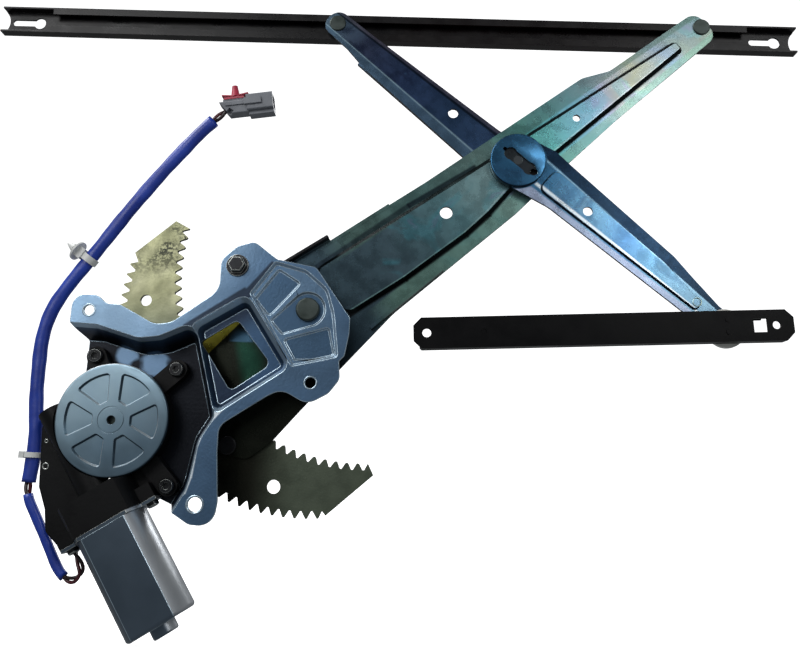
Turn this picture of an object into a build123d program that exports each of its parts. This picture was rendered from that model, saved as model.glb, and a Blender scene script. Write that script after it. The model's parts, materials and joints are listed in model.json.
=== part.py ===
from build123d import *
import os
from math import acos, atan2, cos, degrees, hypot, pi, radians, sin, tan

# Cross-arm window regulator for a car door, with its motor and motor lead.
# Every piece is drawn lying flat: X to the right, Y up the door, Z towards the cabin, with the
# lift pivot at X = Y = 0 and the cabin side of the toothed sector at Z = 0. On saving, a piece is
# turned upright: X stays, Z is up the door, and the cabin side faces -Y. The origin is then the
# axis of the bracket's lug C in the plane where the lugs meet the door panel.
# All lengths are millimetres.

# Linkage
ARM_ANGLE = 39.8
PIVOT_TO_CENTRE = 191.0
CENTRE_TO_GLASS = 185.0

# Gearing
MODULE = 2.5
SECTOR_FULL_TEETH = 112
SECTOR_TEETH = 35
SECTOR_FIRST_ANGLE = -85.2
SECTOR_BAND = 51.3
SECTOR_BAND_ANGLE = 42.0
SECTOR_LOWER_MARGIN = 2.3
SECTOR_UPPER_MARGIN = 3.7
SECTOR_LOWER_CUT = 42.9
SECTOR_UPPER_CUT = 38.2
SECTOR_PLATE = 3.0
PINION_TEETH = 10
PRESSURE_ANGLE = 28.0
TOOTH_BACKLASH = 0.3
ROOT_CLEARANCE = 0.5
PINION_GAP = 19.5

# Fits
RUNNING_FIT = 0.05
LOOSE_FIT = 0.35

# Lift arm
ARM_SHEET = 2.5
PANEL_RISE = 3.0
PANEL_RUN = 2.6
HUB_RADIUS = 16.0
HUB_TOP = 9.5
ARM_FLANGE_TOP = 8.0
TIP_MARGIN = 5.0
ARM_HOLES = ((58.3, 0.6, 2.8), (-66.0, 2.0, 4.7))
RIVET_RADIUS = 4.0
RIVET_HEAD_RADIUS = 6.5
RIVET_HEAD = 1.8
RIVET_PLACES = ((-102, -38), (-102, -13), (-102, 13), (-102, 38))
SECTOR_HOLES = ((-123.5, 8.5, 4.2), (-20.1, -121.6, 4.8))

# Pivot of the lift arm
JOURNAL_RADIUS = 8.0
BUSH_WALL = 2.0
SHOULDER_RADIUS = 11.0
NECK_RADIUS = 6.0
PIVOT_HEAD_RADIUS = 8.3
PIVOT_HEAD_HEIGHT = 3.4
TAIL_HEAD_RADIUS = 11.0
TAIL_HEAD_HEIGHT = 3.0
AXIAL_PLAY = 0.3

# Assist arm
ASSIST_SHEET = 2.3
ASSIST_FRONT_BACK = 7.0
ASSIST_REAR_FRONT = -5.2
CENTRE_RADIUS = 12.0
CENTRE_DISC_RADIUS = 20.8
CENTRE_DISC_TOP = 12.2
CENTRE_RIVET_RADIUS = 3.6
BONE_DEPTH = 1.3
BONE_LOBE_RADIUS = 4.9
BONE_WAIST = 8.4
BONE_LOBES = ((-5.6, 4.7), (8.2, -6.8))
DISC_HOLES = ((11.4, -9.3, 2.9), (-9.9, 8.2, 1.5))

# Studs and rollers
STUD_RADIUS = 3.5
STUD_HEAD_RADIUS = 6.5
STUD_HEAD = 1.3
ROLLER_RADIUS = 8.9
ROLLER_THICK = 3.8
SHIELD_RADIUS = 14.0

# Rails
RAIL_WIDTH = 22.0
RAIL_DEPTH = 7.4
RAIL_SHEET = 1.5
RAIL_SLOT = 10.0
UPPER_RAIL_FACE = -10.6
UPPER_RAIL_LEFT = -269.5
UPPER_RAIL_RIGHT = 369.0
UPPER_LIPS_LEFT = -228.0
UPPER_LIPS_RIGHT = 330.0
UPPER_END_DISH = 12.5
LOWER_RAIL_FACE = 22.0
LOWER_RAIL_DEPTH = 8.8
LOWER_RAIL_TILT = 3.4
LOWER_RAIL_LEFT = -220.0
LOWER_RAIL_RIGHT = 43.3
LOWER_RAIL_CHAMFER = 5.5
BOLT_HEAD_ROOM = 7.0
LOWER_RAIL_HOLE_LEFT = 9.3
LOWER_RAIL_HOLE_RIGHT = 12.0
ROLLER_SLACK = 0.35

# Bracket
SHEET = 2.0
LUG_PLANE = 30.0
PAN_TOP = 27.5
POCKET_DEPTH = 1.5
WINDOW_FLOOR = 19.0
BASE_TOP = 8.0
LUG_A = (-151.4, -6.3)
LUG_B = (-50.6, 29.0)
LUG_C = (5.3, -51.2)
LUG_D = (-65.9, -134.4)
LUG_HOLE = 3.6
LUG_D_HOLE = 4.7

BAY = (
    (-175, -15, 0), (-145, -16.2, 12), (-115.2, -24.6, 14), (-101, -22.8, 14), (-76, -11, 10),
    (-57.5, -76, 10), (-67, -93, 14), (-71, -118, 20), (-73, -126, 14), (-86, -150, 0),
    (-175, -150, 0),
)
WINDOW_PAN = (
    (-80, -14.5, 8), (-42.5, 9.5, 8), (-8.5, -40.5, 8), (-49, -69, 9), (-62, -78, 8),
)
PAN = ((-40.5, 9.5, 2), (-24.5, 33, 3), (-2.5, 27.5, 12), (13.2, 14.5, 14), (18.6, -2, 30),
       (23, -33, 3), (-8.5, -40.5, 2))
WINDOW = ((-74.4, -24, 4), (-50.2, -7.5, 4), (-24.6, -38, 5), (-51.2, -57.8, 4))
UPPER_POCKET = ((-37.5, 6.5, 2), (-22, 28.5, 2.5), (-5.5, 18.5, 2.5), (-26.5, -6.5, 3))
LOWER_POCKET = ((-16, -21.5, 2.5), (15.6, -11.8, 2.5), (20.4, -31.6, 2.5), (5, -35.5, 10), (-7.2, -36, 2.5))
FLANGE = (
    (-164, -17, 9.5), (-164, 5.5, 9.5), (-146, 4.5, 9), (-140, -1.2, 6), (-130, -1.6, 10),
    (-104.5, -14.8, 14), (-93, -12.8, 12), (-62, 11, 14), (-62.5, 33, 10), (-52, 43, 8), (-40, 47, 7),
    (-23, 34.5, 4), (4.5, 29.8, 6), (30, -5.4, 5), (30, -16, 4), (27.4, -32, 4), (23.8, -35.6, 2),
    (25.2, -48, 8), (18, -58, 10), (4, -66, 12), (-14, -56.5, 12), (-23, -61, 12), (-54.5, -82.5, 10),
    (-54, -100, 8), (-51, -132, 14), (-53, -148.5, 11), (-69, -147.5, 8), (-88, -136.2, 2),
    (-100, -131, 4), (-112, -113, 8), (-131, -107, 8), (-147, -88, 10), (-158, -62, 10), (-158, -24, 6),
)
PAD_ARC = 12.4
PAD_TOP = PAN_TOP - POCKET_DEPTH
PAD_BACK = PAD_TOP - SHEET

# Gear case and motor
SEAT_RADIUS = 22.0
SCREW_RADIUS = 2.4
SHAFT_SEAT = 9.0
SPLINE_RADIUS = 6.0
WHEEL_PITCH = 28.0
WHEEL_BACK = 11.0
WHEEL_FACE = 10.0
WORM_PITCH = 5.6
WORM_ROOT = 3.6
WHEEL_TEETH = 48
WHEEL_TIP = WHEEL_PITCH + 0.3
CAVITY_RADIUS = WHEEL_TIP + 2.6
MOTOR_AXIS_Z = 16.0
MOTOR_DIRECTION = -57.0
CASE_RADIUS = 37.8
CASE_WALL = 2.3
CASE_FRONT = 23.0
COVER_RADIUS = 38.8
COVER_TOP = 26.0
CASE_SCREWS = ((-148.4, -36.4), (-90.4, -43.8), (-89.6, -123.6))
EAR_RADIUS = 6.9
EAR_TOP = 16.0
TUNNEL_RADIUS = 11.0
TUNNEL_WALL = 2.5
TUNNEL_END = -29.0
CAN_START = 61.6
CAN_LENGTH = 73.0
CAN_WIDTH = 48.0
CAN_THICK = 37.0
CAN_WALL = 1.8
CAN_SCREW_GAP = 6.0
FLANGE_SCREW_W = CAN_WIDTH / 2 + CAN_SCREW_GAP
FLANGE_HALF = FLANGE_SCREW_W + 5.4
BRUSH_START = 36.0
OUTLET_W = -33.0
MAGNET_THICK = 5.2
MAGNET_HALF_ARC = 53.8
AIR_GAP = 1.3
MAGNET_OUTER = CAN_WIDTH / 2 - CAN_WALL - 0.2
MAGNET_INNER = MAGNET_OUTER - MAGNET_THICK
CORE_RADIUS = MAGNET_INNER - AIR_GAP

# Motor lead
LEAD_Z = 7.5
WIRE_RADIUS = 1.7
LOWER_SLEEVE_RADIUS = 3.5
UPPER_SLEEVE_RADIUS = 4.8
LEAD_ROUTE = (
    (-154.6, -164.4), (-147.5, -175), (-144, -184), (-151, -190), (-160, -184), (-169, -168),
    (-181, -147), (-189.5, -133), (-188, -113), (-188, -91), (-191.5, -66), (-192.5, -44),
    (-193, -24), (-189, -3), (-178, 17), (-161, 42), (-142, 72), (-121, 102), (-101, 128), (-87, 145),
    (-75, 156),
)
WIRE_CORNER_COUNT = 4
LOWER_SLEEVE_CORNER_COUNT = 7
LEAD_END = len(LEAD_ROUTE) - 1
TIE_RUN_INDEX = 8
CLIP_RUN_INDEX = 14
CONNECTOR_ANGLE = 9.0

CENTRE = (PIVOT_TO_CENTRE * cos(radians(ARM_ANGLE)), PIVOT_TO_CENTRE * sin(radians(ARM_ANGLE)))
GLASS_1 = (
    (PIVOT_TO_CENTRE + CENTRE_TO_GLASS) * cos(radians(ARM_ANGLE)),
    (PIVOT_TO_CENTRE + CENTRE_TO_GLASS) * sin(radians(ARM_ANGLE)),
)
GLASS_2 = (
    (PIVOT_TO_CENTRE - CENTRE_TO_GLASS) * cos(radians(ARM_ANGLE)),
    (PIVOT_TO_CENTRE + CENTRE_TO_GLASS) * sin(radians(ARM_ANGLE)),
)
DOOR_STUD = (2 * PIVOT_TO_CENTRE * cos(radians(ARM_ANGLE)), 0.0)

TOOTH_PITCH = 360.0 / SECTOR_FULL_TEETH
SECTOR_PITCH = MODULE * SECTOR_FULL_TEETH / 2
PINION_PITCH = MODULE * PINION_TEETH / 2
PINION_ANGLE = SECTOR_FIRST_ANGLE - PINION_GAP * TOOTH_PITCH
PINION_CENTRE = (
    (SECTOR_PITCH + PINION_PITCH) * cos(radians(PINION_ANGLE)),
    (SECTOR_PITCH + PINION_PITCH) * sin(radians(PINION_ANGLE)),
)
WORM_DISTANCE = WHEEL_PITCH + WORM_PITCH
GLASS_REACH = PIVOT_TO_CENTRE + CENTRE_TO_GLASS
ROLLER_Z = UPPER_RAIL_FACE - RAIL_SHEET - ROLLER_SLACK
DOOR_ROLLER_Z = LOWER_RAIL_FACE - RAIL_SHEET - ROLLER_SLACK - ROLLER_THICK

lift_frame = Rot(0, 0, ARM_ANGLE)
front_frame = Pos(*CENTRE) * Rot(0, 0, -ARM_ANGLE)
rear_frame = Pos(*CENTRE) * Rot(0, 0, 180 - ARM_ANGLE)
lower_rail_frame = Pos(*DOOR_STUD) * Rot(0, 0, LOWER_RAIL_TILT)
# X of the motor frame runs along the motor shaft, away from the worm wheel's near point.
motor_frame = (
    Pos(*PINION_CENTRE) * Rot(0, 0, MOTOR_DIRECTION) * Pos(0, -WORM_DISTANCE, MOTOR_AXIS_Z)
)
connector_frame = Pos(*LEAD_ROUTE[-1], LEAD_Z) * Rot(0, 0, CONNECTOR_ANGLE)
upright = Rot(90, 0, 0) * Pos(-LUG_C[0], -LUG_C[1], -LUG_PLANE)

os.makedirs("parts", exist_ok=True)


def save(name, shape):
    export_step(upright * shape, f"parts/{name}.step")


def polar(radius, angle, centre=(0, 0)):
    return (centre[0] + radius * cos(radians(angle)), centre[1] + radius * sin(radians(angle)))


def outline(*corners):
    """Closed face from corners given as (x, y, rounding radius), in either direction round."""
    pairs = zip(corners, corners[1:] + corners[:1])
    if sum(a[0] * b[1] - b[0] * a[1] for a, b in pairs) < 0:
        corners = corners[::-1]
    points = [(x, y) for x, y, _ in corners]
    radii = [radius for _, _, radius in corners]
    return make_face(FilletPolyline(*points, radius=radii, close=True).edges())


def plate(face, back, front):
    return Pos(0, 0, back) * extrude(face, front - back)


def disc(centre, radius, back, front):
    base = (Align.CENTER, Align.CENTER, Align.MIN)
    return Pos(centre[0], centre[1], back) * Cylinder(radius, front - back, align=base)


def ring(centre, outer, inner, back, front):
    return disc(centre, outer, back, front) - disc(centre, inner, back - 1, front + 1)


def group(shapes):
    return Compound(children=[shape for shape in shapes])


def tub(face, top, floor, run):
    """Tapered hollow space that narrows from the face at top down to the floor."""
    depth = top - floor
    rising = extrude(Pos(0, 0, top) * face, depth, taper=degrees(atan2(run, depth)))
    return mirror(rising, about=Plane.XY.offset(top))


def sector_gear():
    """Stamped rack sector; both long edges carry the same toothed curve."""
    tip = SECTOR_PITCH + MODULE
    root = SECTOR_PITCH + PINION_PITCH - (PINION_PITCH + 2.1) - ROOT_CLEARANCE
    half_pitch = (SECTOR_PITCH * radians(TOOTH_PITCH)) / 4 - TOOTH_BACKLASH / 2
    slope = tan(radians(PRESSURE_ANGLE))
    half_tip = half_pitch - (tip - SECTOR_PITCH) * slope
    half_root = half_pitch + (SECTOR_PITCH - root) * slope
    curve = []
    for tooth in range(SECTOR_TEETH):
        middle = SECTOR_FIRST_ANGLE - tooth * TOOTH_PITCH
        curve.append(polar(root, middle + degrees(half_root / root)))
        curve.append(polar(tip, middle + degrees(half_tip / tip)))
        curve.append(polar(tip, middle - degrees(half_tip / tip)))
        curve.append(polar(root, middle - degrees(half_root / root)))
    shift = polar(SECTOR_BAND, SECTOR_BAND_ANGLE)
    inner = [(x + shift[0], y + shift[1]) for x, y in reversed(curve[4:-4])]
    start = polar(SECTOR_PITCH + 0.8, SECTOR_FIRST_ANGLE + SECTOR_LOWER_MARGIN)
    last_angle = SECTOR_FIRST_ANGLE - (SECTOR_TEETH - 1) * TOOTH_PITCH
    end = polar(tip, last_angle - SECTOR_UPPER_MARGIN)
    start_inner = polar(SECTOR_LOWER_CUT, SECTOR_BAND_ANGLE, start)
    end_inner = polar(SECTOR_UPPER_CUT, SECTOR_BAND_ANGLE, end)
    edge = Polyline(start, *curve, end, end_inner, *inner, start_inner, close=True)
    blank = plate(make_face(edge.edges()), -SECTOR_PLATE, 0)
    for x, y, radius in SECTOR_HOLES:
        blank -= disc((x, y), radius, -SECTOR_PLATE - 1, 1)
    for spot in rivet_spots():
        blank -= disc(spot, RIVET_RADIUS, -SECTOR_PLATE - 1, 1)
    return blank


def rivet_spots():
    turn = radians(ARM_ANGLE)
    return [(u * cos(turn) - v * sin(turn), u * sin(turn) + v * cos(turn)) for u, v in RIVET_PLACES]


def sector_rivets():
    rivets = []
    for spot in rivet_spots():
        shank = disc(spot, RIVET_RADIUS, -SECTOR_PLATE, ARM_SHEET)
        front_head = disc(spot, RIVET_HEAD_RADIUS, ARM_SHEET, ARM_SHEET + RIVET_HEAD)
        rear_head = disc(spot, RIVET_HEAD_RADIUS, -SECTOR_PLATE - 1.0, -SECTOR_PLATE)
        rivets.append(chamfer((shank + front_head).edges().sort_by(Axis.Z)[-1], 0.7) + rear_head)
    return group(rivets)


def pinion_teeth(back, front):
    """Ten involute teeth, one of them pointing at the lift pivot."""
    base = PINION_PITCH * cos(radians(PRESSURE_ANGLE))
    tip = PINION_PITCH + 2.1
    root = PINION_PITCH - MODULE - ROOT_CLEARANCE
    involute = lambda angle: tan(angle) - angle
    half_pitch = (PINION_PITCH * radians(360 / PINION_TEETH) / 4 - TOOTH_BACKLASH / 2) / PINION_PITCH

    def half_angle(radius):
        if radius <= base:
            return half_pitch + involute(radians(PRESSURE_ANGLE))
        return half_pitch + involute(radians(PRESSURE_ANGLE)) - involute(acos(base / radius))

    flank = [root, base, 0.55 * base + 0.45 * tip, tip]
    points = []
    for tooth in range(PINION_TEETH):
        middle = PINION_ANGLE + 180 + tooth * 360 / PINION_TEETH
        for radius in flank:
            points.append(polar(radius, middle - degrees(half_angle(radius)), PINION_CENTRE))
        for radius in reversed(flank):
            points.append(polar(radius, middle + degrees(half_angle(radius)), PINION_CENTRE))
    return plate(make_face(Polyline(*points, close=True).edges()), back, front)


def lift_arm():
    """Long pressed arm: tail fan over the sector, raised channel panel, upturned edges, hub."""
    tip = GLASS_REACH + TIP_MARGIN
    blank = plate(outline(
        (-114, 34, 8), (-97, 54, 8), (-78, 55, 8), (-45, 49, 30), (46, 37.5, 60), (128, 31, 60),
        (214, 26.5, 60), (GLASS_REACH - 101, 24, 12), (GLASS_REACH - 80, 15.5, 12), (tip, 13, 9),
        (tip, -13, 9), (GLASS_REACH - 38, -15, 30), (GLASS_REACH - 102, -18.5, 60), (223, -23, 60),
        (166, -29.5, 60), (48, -34, 60),
        (-45, -49, 30), (-78, -55, 8), (-97, -54, 8), (-114, -34, 8),
    ), 0, ARM_SHEET)
    panel = outline(
        (19, 28, 9), (144, 18, 60), (GLASS_REACH - 24, 4, 4), (GLASS_REACH - 24, -6.5, 4),
        (173, -14.6, 60), (19, -16, 9),
    )
    top = ARM_SHEET + PANEL_RISE
    rise = extrude(Pos(0, 0, ARM_SHEET) * panel, PANEL_RISE, taper=degrees(atan2(PANEL_RUN, PANEL_RISE)))
    hollow = Pos(0, 0, -ARM_SHEET) * rise
    solid = blank + rise - hollow - plate(panel, -1, 0)
    for side in (1, -1):
        edge = (39.5, 34.6) if side > 0 else (-34.4, -31.7)
        strip = outline(
            (28, edge[0], 0), (96, edge[1], 0), (96, edge[1] - side * ARM_SHEET, 0),
            (28, edge[0] - side * ARM_SHEET, 0),
        )
        flange = plate(strip, 0.4, ARM_FLANGE_TOP)
        solid += flange
    solid += disc((0, 0), HUB_RADIUS, 0, HUB_TOP)
    solid -= disc((0, 0), JOURNAL_RADIUS + BUSH_WALL, -1, HUB_TOP + 1)
    solid -= disc((PIVOT_TO_CENTRE, 0), CENTRE_RADIUS, -1, top + 1)
    solid -= disc((GLASS_REACH, 0), STUD_RADIUS, -1, top + 1)
    for u, v, radius in ARM_HOLES:
        solid -= disc((PIVOT_TO_CENTRE + u, v), radius, -1, top + 1)
    for u, v in RIVET_PLACES:
        solid -= disc((u, v), RIVET_RADIUS, -1, top)
    return lift_frame * solid


def pivot_pin():
    """Shouldered rivet that is headed over the bracket and carries the arm."""
    head_top = PAD_TOP + PIVOT_HEAD_HEIGHT
    pin = disc((0, 0), PIVOT_HEAD_RADIUS, PAD_TOP, head_top)
    pin = chamfer(pin.edges().sort_by(Axis.Z)[-1], 0.9)
    pin += disc((0, 0), NECK_RADIUS, PAD_BACK, PAD_TOP)
    pin += disc((0, 0), SHOULDER_RADIUS, HUB_TOP + AXIAL_PLAY, PAD_BACK)
    pin += disc((0, 0), JOURNAL_RADIUS, -AXIAL_PLAY, HUB_TOP + AXIAL_PLAY)
    tail = disc((0, 0), TAIL_HEAD_RADIUS, -AXIAL_PLAY - TAIL_HEAD_HEIGHT, -AXIAL_PLAY)
    return pin + chamfer(tail.edges().sort_by(Axis.Z)[0], 0.9)


def pivot_bush():
    return ring((0, 0), JOURNAL_RADIUS + BUSH_WALL, JOURNAL_RADIUS + RUNNING_FIT, 0, HUB_TOP)


def bone_face():
    """Recess in the centre disc round the rivet: two round lobes joined by a waist."""
    (x1, y1), (x2, y2) = BONE_LOBES
    waist = Pos((x1 + x2) / 2, (y1 + y2) / 2) * Rot(0, 0, degrees(atan2(y2 - y1, x2 - x1)))
    face = waist * Rectangle(hypot(x2 - x1, y2 - y1), BONE_WAIST)
    for x, y in BONE_LOBES:
        face += Pos(x, y) * Circle(BONE_LOBE_RADIUS)
    return face


def assist_arm_front():
    """Half of the assist arm on the cabin side, from the centre pivot to the door rail's stud."""
    back = ASSIST_FRONT_BACK
    front = back + ASSIST_SHEET
    blank = plate(outline(
        (0, 20.8, 0), (16, 24.5, 8), (32, 23.5, 20), (132, 18.8, 30), (151, 15.3, 20), (178, 11, 12),
        (201, 11, 9), (201, -8, 9), (150, -9.3, 20), (40, -12.6, 30), (18, -17, 12), (0, -20.8, 0),
    ), back, front)
    blank += disc((0, 0), CENTRE_DISC_RADIUS, back, front)
    panel = outline(
        (25, 14, 6), (130, 11, 30), (168, 4.5, 3), (168, -3.5, 3), (25, -7.5, 6),
    )
    rise = mirror(tub(panel, front + 2.0, front, 1.2), about=Plane.XY.offset(front + 1.0))
    blank += rise
    blank -= Pos(0, 0, -ASSIST_SHEET) * rise
    blank += disc((0, 0), CENTRE_DISC_RADIUS, front, CENTRE_DISC_TOP)
    blank = fillet(blank.edges().filter_by(GeomType.CIRCLE).sort_by(Axis.Z)[-1], 1.1)
    blank -= disc((0, 0), CENTRE_RADIUS, back - 1, CENTRE_DISC_TOP - ASSIST_SHEET)
    blank -= disc((0, 0), CENTRE_RIVET_RADIUS, back - 1, CENTRE_DISC_TOP + 1)
    level = Rot(0, 0, ARM_ANGLE)
    blank -= level * plate(bone_face(), CENTRE_DISC_TOP - BONE_DEPTH, CENTRE_DISC_TOP + 1)
    for x, y, radius in DISC_HOLES:
        blank -= level * disc((x, y), radius, back - 1, CENTRE_DISC_TOP + 1)
    blank -= disc((PIVOT_TO_CENTRE, 0), STUD_RADIUS, back - 1, front + 3)
    blank -= disc((63.7, 3.3), 3.5, back - 1, front + 3)
    return front_frame * blank


def assist_arm_rear():
    """Half of the assist arm on the glass side, a shallow channel from the centre to the glass rail."""
    front = ASSIST_REAR_FRONT
    back = front - ASSIST_SHEET
    shape = outline(
        (-17, 0, 0), (-12, 15, 10), (0, 19.5, 10), (30, 19.3, 30), (140, 15.2, 30), (165, 11, 14),
        (194, 10, 9), (194, -10, 9), (160, -10.7, 14), (30, -15.5, 30), (0, -19.5, 10), (-12, -15, 10),
    )
    blank = plate(shape, back, front)
    for side, wide, narrow in ((1, 18.6, 15.0), (-1, -15.0, -11.4)):
        strip = outline(
            (36, wide, 0), (150, narrow, 0), (150, narrow - side * ASSIST_SHEET, 0),
            (36, wide - side * ASSIST_SHEET, 0),
        )
        blank += plate(strip, back - 2.2, back + 0.4)
    blank -= disc((0, 0), CENTRE_RIVET_RADIUS, back - 1, front + 1)
    blank -= disc((CENTRE_TO_GLASS, 0), STUD_RADIUS, back - 1, front + 1)
    blank -= disc((65.4, -2.9), 3.9, back - 1, front + 1)
    return rear_frame * blank


def centre_hub():
    """Spacer that turns in the lift arm and joins the two halves of the assist arm."""
    top = CENTRE_DISC_TOP - ASSIST_SHEET
    hub = disc(CENTRE, CENTRE_RADIUS - RUNNING_FIT, ASSIST_REAR_FRONT, top)
    return hub - disc(CENTRE, CENTRE_RIVET_RADIUS, ASSIST_REAR_FRONT - 1, top + 1)


def centre_rivet():
    back = ASSIST_REAR_FRONT - ASSIST_SHEET
    shank = disc(CENTRE, CENTRE_RIVET_RADIUS, back, CENTRE_DISC_TOP - BONE_DEPTH)
    tail = disc(CENTRE, CENTRE_RIVET_RADIUS + 3, back - 1.6, back)
    return shank + tail


def centre_washers():
    """Two plain plastic washers, one each side of the lift arm."""
    arm_top = ARM_SHEET + PANEL_RISE
    front = ring(CENTRE, 19, CENTRE_RADIUS + RUNNING_FIT, arm_top, ASSIST_FRONT_BACK)
    rear = ring(CENTRE, 19, CENTRE_RADIUS + RUNNING_FIT, ASSIST_REAR_FRONT, 0)
    return group([front, rear])


def rail_profile(length_start, length_end, width, depth, face_z, opens):
    """C-shaped rail along X; opens is +1 when the slot faces the cabin and -1 when it faces away."""
    span = length_end - length_start
    middle = (length_start + length_end) / 2
    centre_z = face_z - opens * depth / 2
    body = Pos(middle, 0, centre_z) * Box(span, width, depth)
    hollow_depth = depth - 2 * RAIL_SHEET
    body -= Pos(middle, 0, centre_z) * Box(span + 2, width - 2 * RAIL_SHEET, hollow_depth)
    slot_z = face_z - opens * RAIL_SHEET / 2
    body -= Pos(middle, 0, slot_z) * Box(span + 2, RAIL_SLOT, RAIL_SHEET + 1)
    return body


def upper_rail():
    """Glass rail: open towards the cabin, lips over its middle, a keyhole at each end."""
    rail = rail_profile(
        UPPER_RAIL_LEFT, UPPER_RAIL_RIGHT, RAIL_WIDTH, RAIL_DEPTH, UPPER_RAIL_FACE, 1
    )
    lip_z = UPPER_RAIL_FACE - RAIL_SHEET / 2
    inner = RAIL_WIDTH - 2 * RAIL_SHEET
    for start, end in ((UPPER_RAIL_LEFT, UPPER_LIPS_LEFT), (UPPER_LIPS_RIGHT, UPPER_RAIL_RIGHT)):
        rail -= Pos((start + end) / 2, 0, lip_z) * Box(end - start, inner, RAIL_SHEET + 1)
    web = UPPER_RAIL_FACE - RAIL_DEPTH
    for end, side in ((UPPER_RAIL_LEFT, -1), (UPPER_RAIL_RIGHT, 1)):
        rail -= disc((end + side * 8.5, 0), UPPER_END_DISH, web - 1, UPPER_RAIL_FACE + 1)
        lobe = end - side * 15.5 if side > 0 else end + 28.6
        narrow = end - side * 32.9 if side > 0 else end + 9.0
        rail -= disc((lobe, 0), 4.7, web - 1, web + 3)
        rail -= disc((narrow, 0), 2.6, web - 1, web + 3)
        rail -= Pos((lobe + narrow) / 2, 0, web + 1) * Box(abs(lobe - narrow), 5.2, 4)
    return Pos(0, GLASS_1[1], 0) * rail


def lower_rail():
    """Door rail: open away from the cabin, bolted to the door through its end holes."""
    half = RAIL_WIDTH / 2
    back = LOWER_RAIL_FACE - LOWER_RAIL_DEPTH
    rail = rail_profile(LOWER_RAIL_LEFT, LOWER_RAIL_RIGHT, RAIL_WIDTH, LOWER_RAIL_DEPTH, back, -1)
    for end, side in ((LOWER_RAIL_LEFT, 1), (LOWER_RAIL_RIGHT, -1)):
        for edge in (half, -half):
            corner = Polyline(
                (end, edge), (end + side * LOWER_RAIL_CHAMFER, edge),
                (end, edge - (1 if edge > 0 else -1) * LOWER_RAIL_CHAMFER), close=True,
            )
            rail -= plate(make_face(corner.edges()), back - 1, LOWER_RAIL_FACE + 1)
    web_back = LOWER_RAIL_FACE - RAIL_SHEET
    ends = (
        (LOWER_RAIL_LEFT, LOWER_RAIL_LEFT + LOWER_RAIL_HOLE_LEFT, 3.1),
        (LOWER_RAIL_RIGHT, LOWER_RAIL_RIGHT - LOWER_RAIL_HOLE_RIGHT, 2.8),
    )
    for end, x, radius in ends:
        rail -= disc((x, 0), radius, web_back - 1, LOWER_RAIL_FACE + 1)
        open_length = 2 * (abs(end - x) + BOLT_HEAD_ROOM)
        rail -= Pos(end, 0, back + 0.7) * Box(open_length, RAIL_WIDTH - 2 * RAIL_SHEET, 3.2)
    rail -= Pos(LOWER_RAIL_RIGHT - 23.1, 0, LOWER_RAIL_FACE) * Box(9.3, 9.5, 4)
    rail -= disc((LOWER_RAIL_LEFT + 49, 0), 2.2, LOWER_RAIL_FACE - 0.6, LOWER_RAIL_FACE + 1)
    for y in (5.0, -4.0):
        rail += disc((LOWER_RAIL_RIGHT - 45, y), 2.2, LOWER_RAIL_FACE - 0.2, LOWER_RAIL_FACE + 0.4)
    return lower_rail_frame * rail


def glass_stud(spot, sheet_front, sheet_back):
    """Stud with a head on the cabin side of the sheet and an end flange behind the roller."""
    shank = disc(spot, STUD_RADIUS, ROLLER_Z - ROLLER_THICK - 0.05, sheet_front)
    head = disc(spot, STUD_HEAD_RADIUS, sheet_front, sheet_front + STUD_HEAD)
    collar = disc(spot, STUD_RADIUS + 1.2, ROLLER_Z + 0.1, sheet_back)
    return shank + chamfer(head.edges().sort_by(Axis.Z)[-1], 0.5) + collar


def door_stud():
    front = ASSIST_FRONT_BACK + ASSIST_SHEET
    end = DOOR_ROLLER_Z + ROLLER_THICK + 0.05
    shank = disc(DOOR_STUD, STUD_RADIUS, ASSIST_FRONT_BACK, end)
    head = disc(DOOR_STUD, STUD_HEAD_RADIUS, ASSIST_FRONT_BACK - STUD_HEAD, ASSIST_FRONT_BACK)
    collar = disc(DOOR_STUD, STUD_RADIUS + 1.2, front, front + 0.4)
    return shank + head + collar


def roller(spot, back):
    wheel = disc(spot, ROLLER_RADIUS, back, back + ROLLER_THICK)
    wheel = chamfer(wheel.edges().filter_by(GeomType.CIRCLE), 0.5)
    return wheel - disc(spot, STUD_RADIUS + RUNNING_FIT, back - 1, back + ROLLER_THICK + 1)


def roller_shield():
    """Flanged collar of the door roller, seen either side of the rail."""
    front = ASSIST_FRONT_BACK + ASSIST_SHEET + 0.4
    return ring(DOOR_STUD, SHIELD_RADIUS, STUD_RADIUS + RUNNING_FIT, front + 0.05, 12.7) + ring(
        DOOR_STUD, STUD_RADIUS + 1.2, STUD_RADIUS + RUNNING_FIT, 12.7, DOOR_ROLLER_Z
    )


def pad_face():
    """Keyhole-shaped pad around the pivot rivet: a round end and a tail to the lower left."""
    tail = outline((-25.8, -8.6, 2.5), (-7.6, 9.8, 0), (5, -11.3, 0), (-16.8, -18.4, 2.5))
    return tail + Pos(0, 0) * Circle(PAD_ARC)


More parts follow.
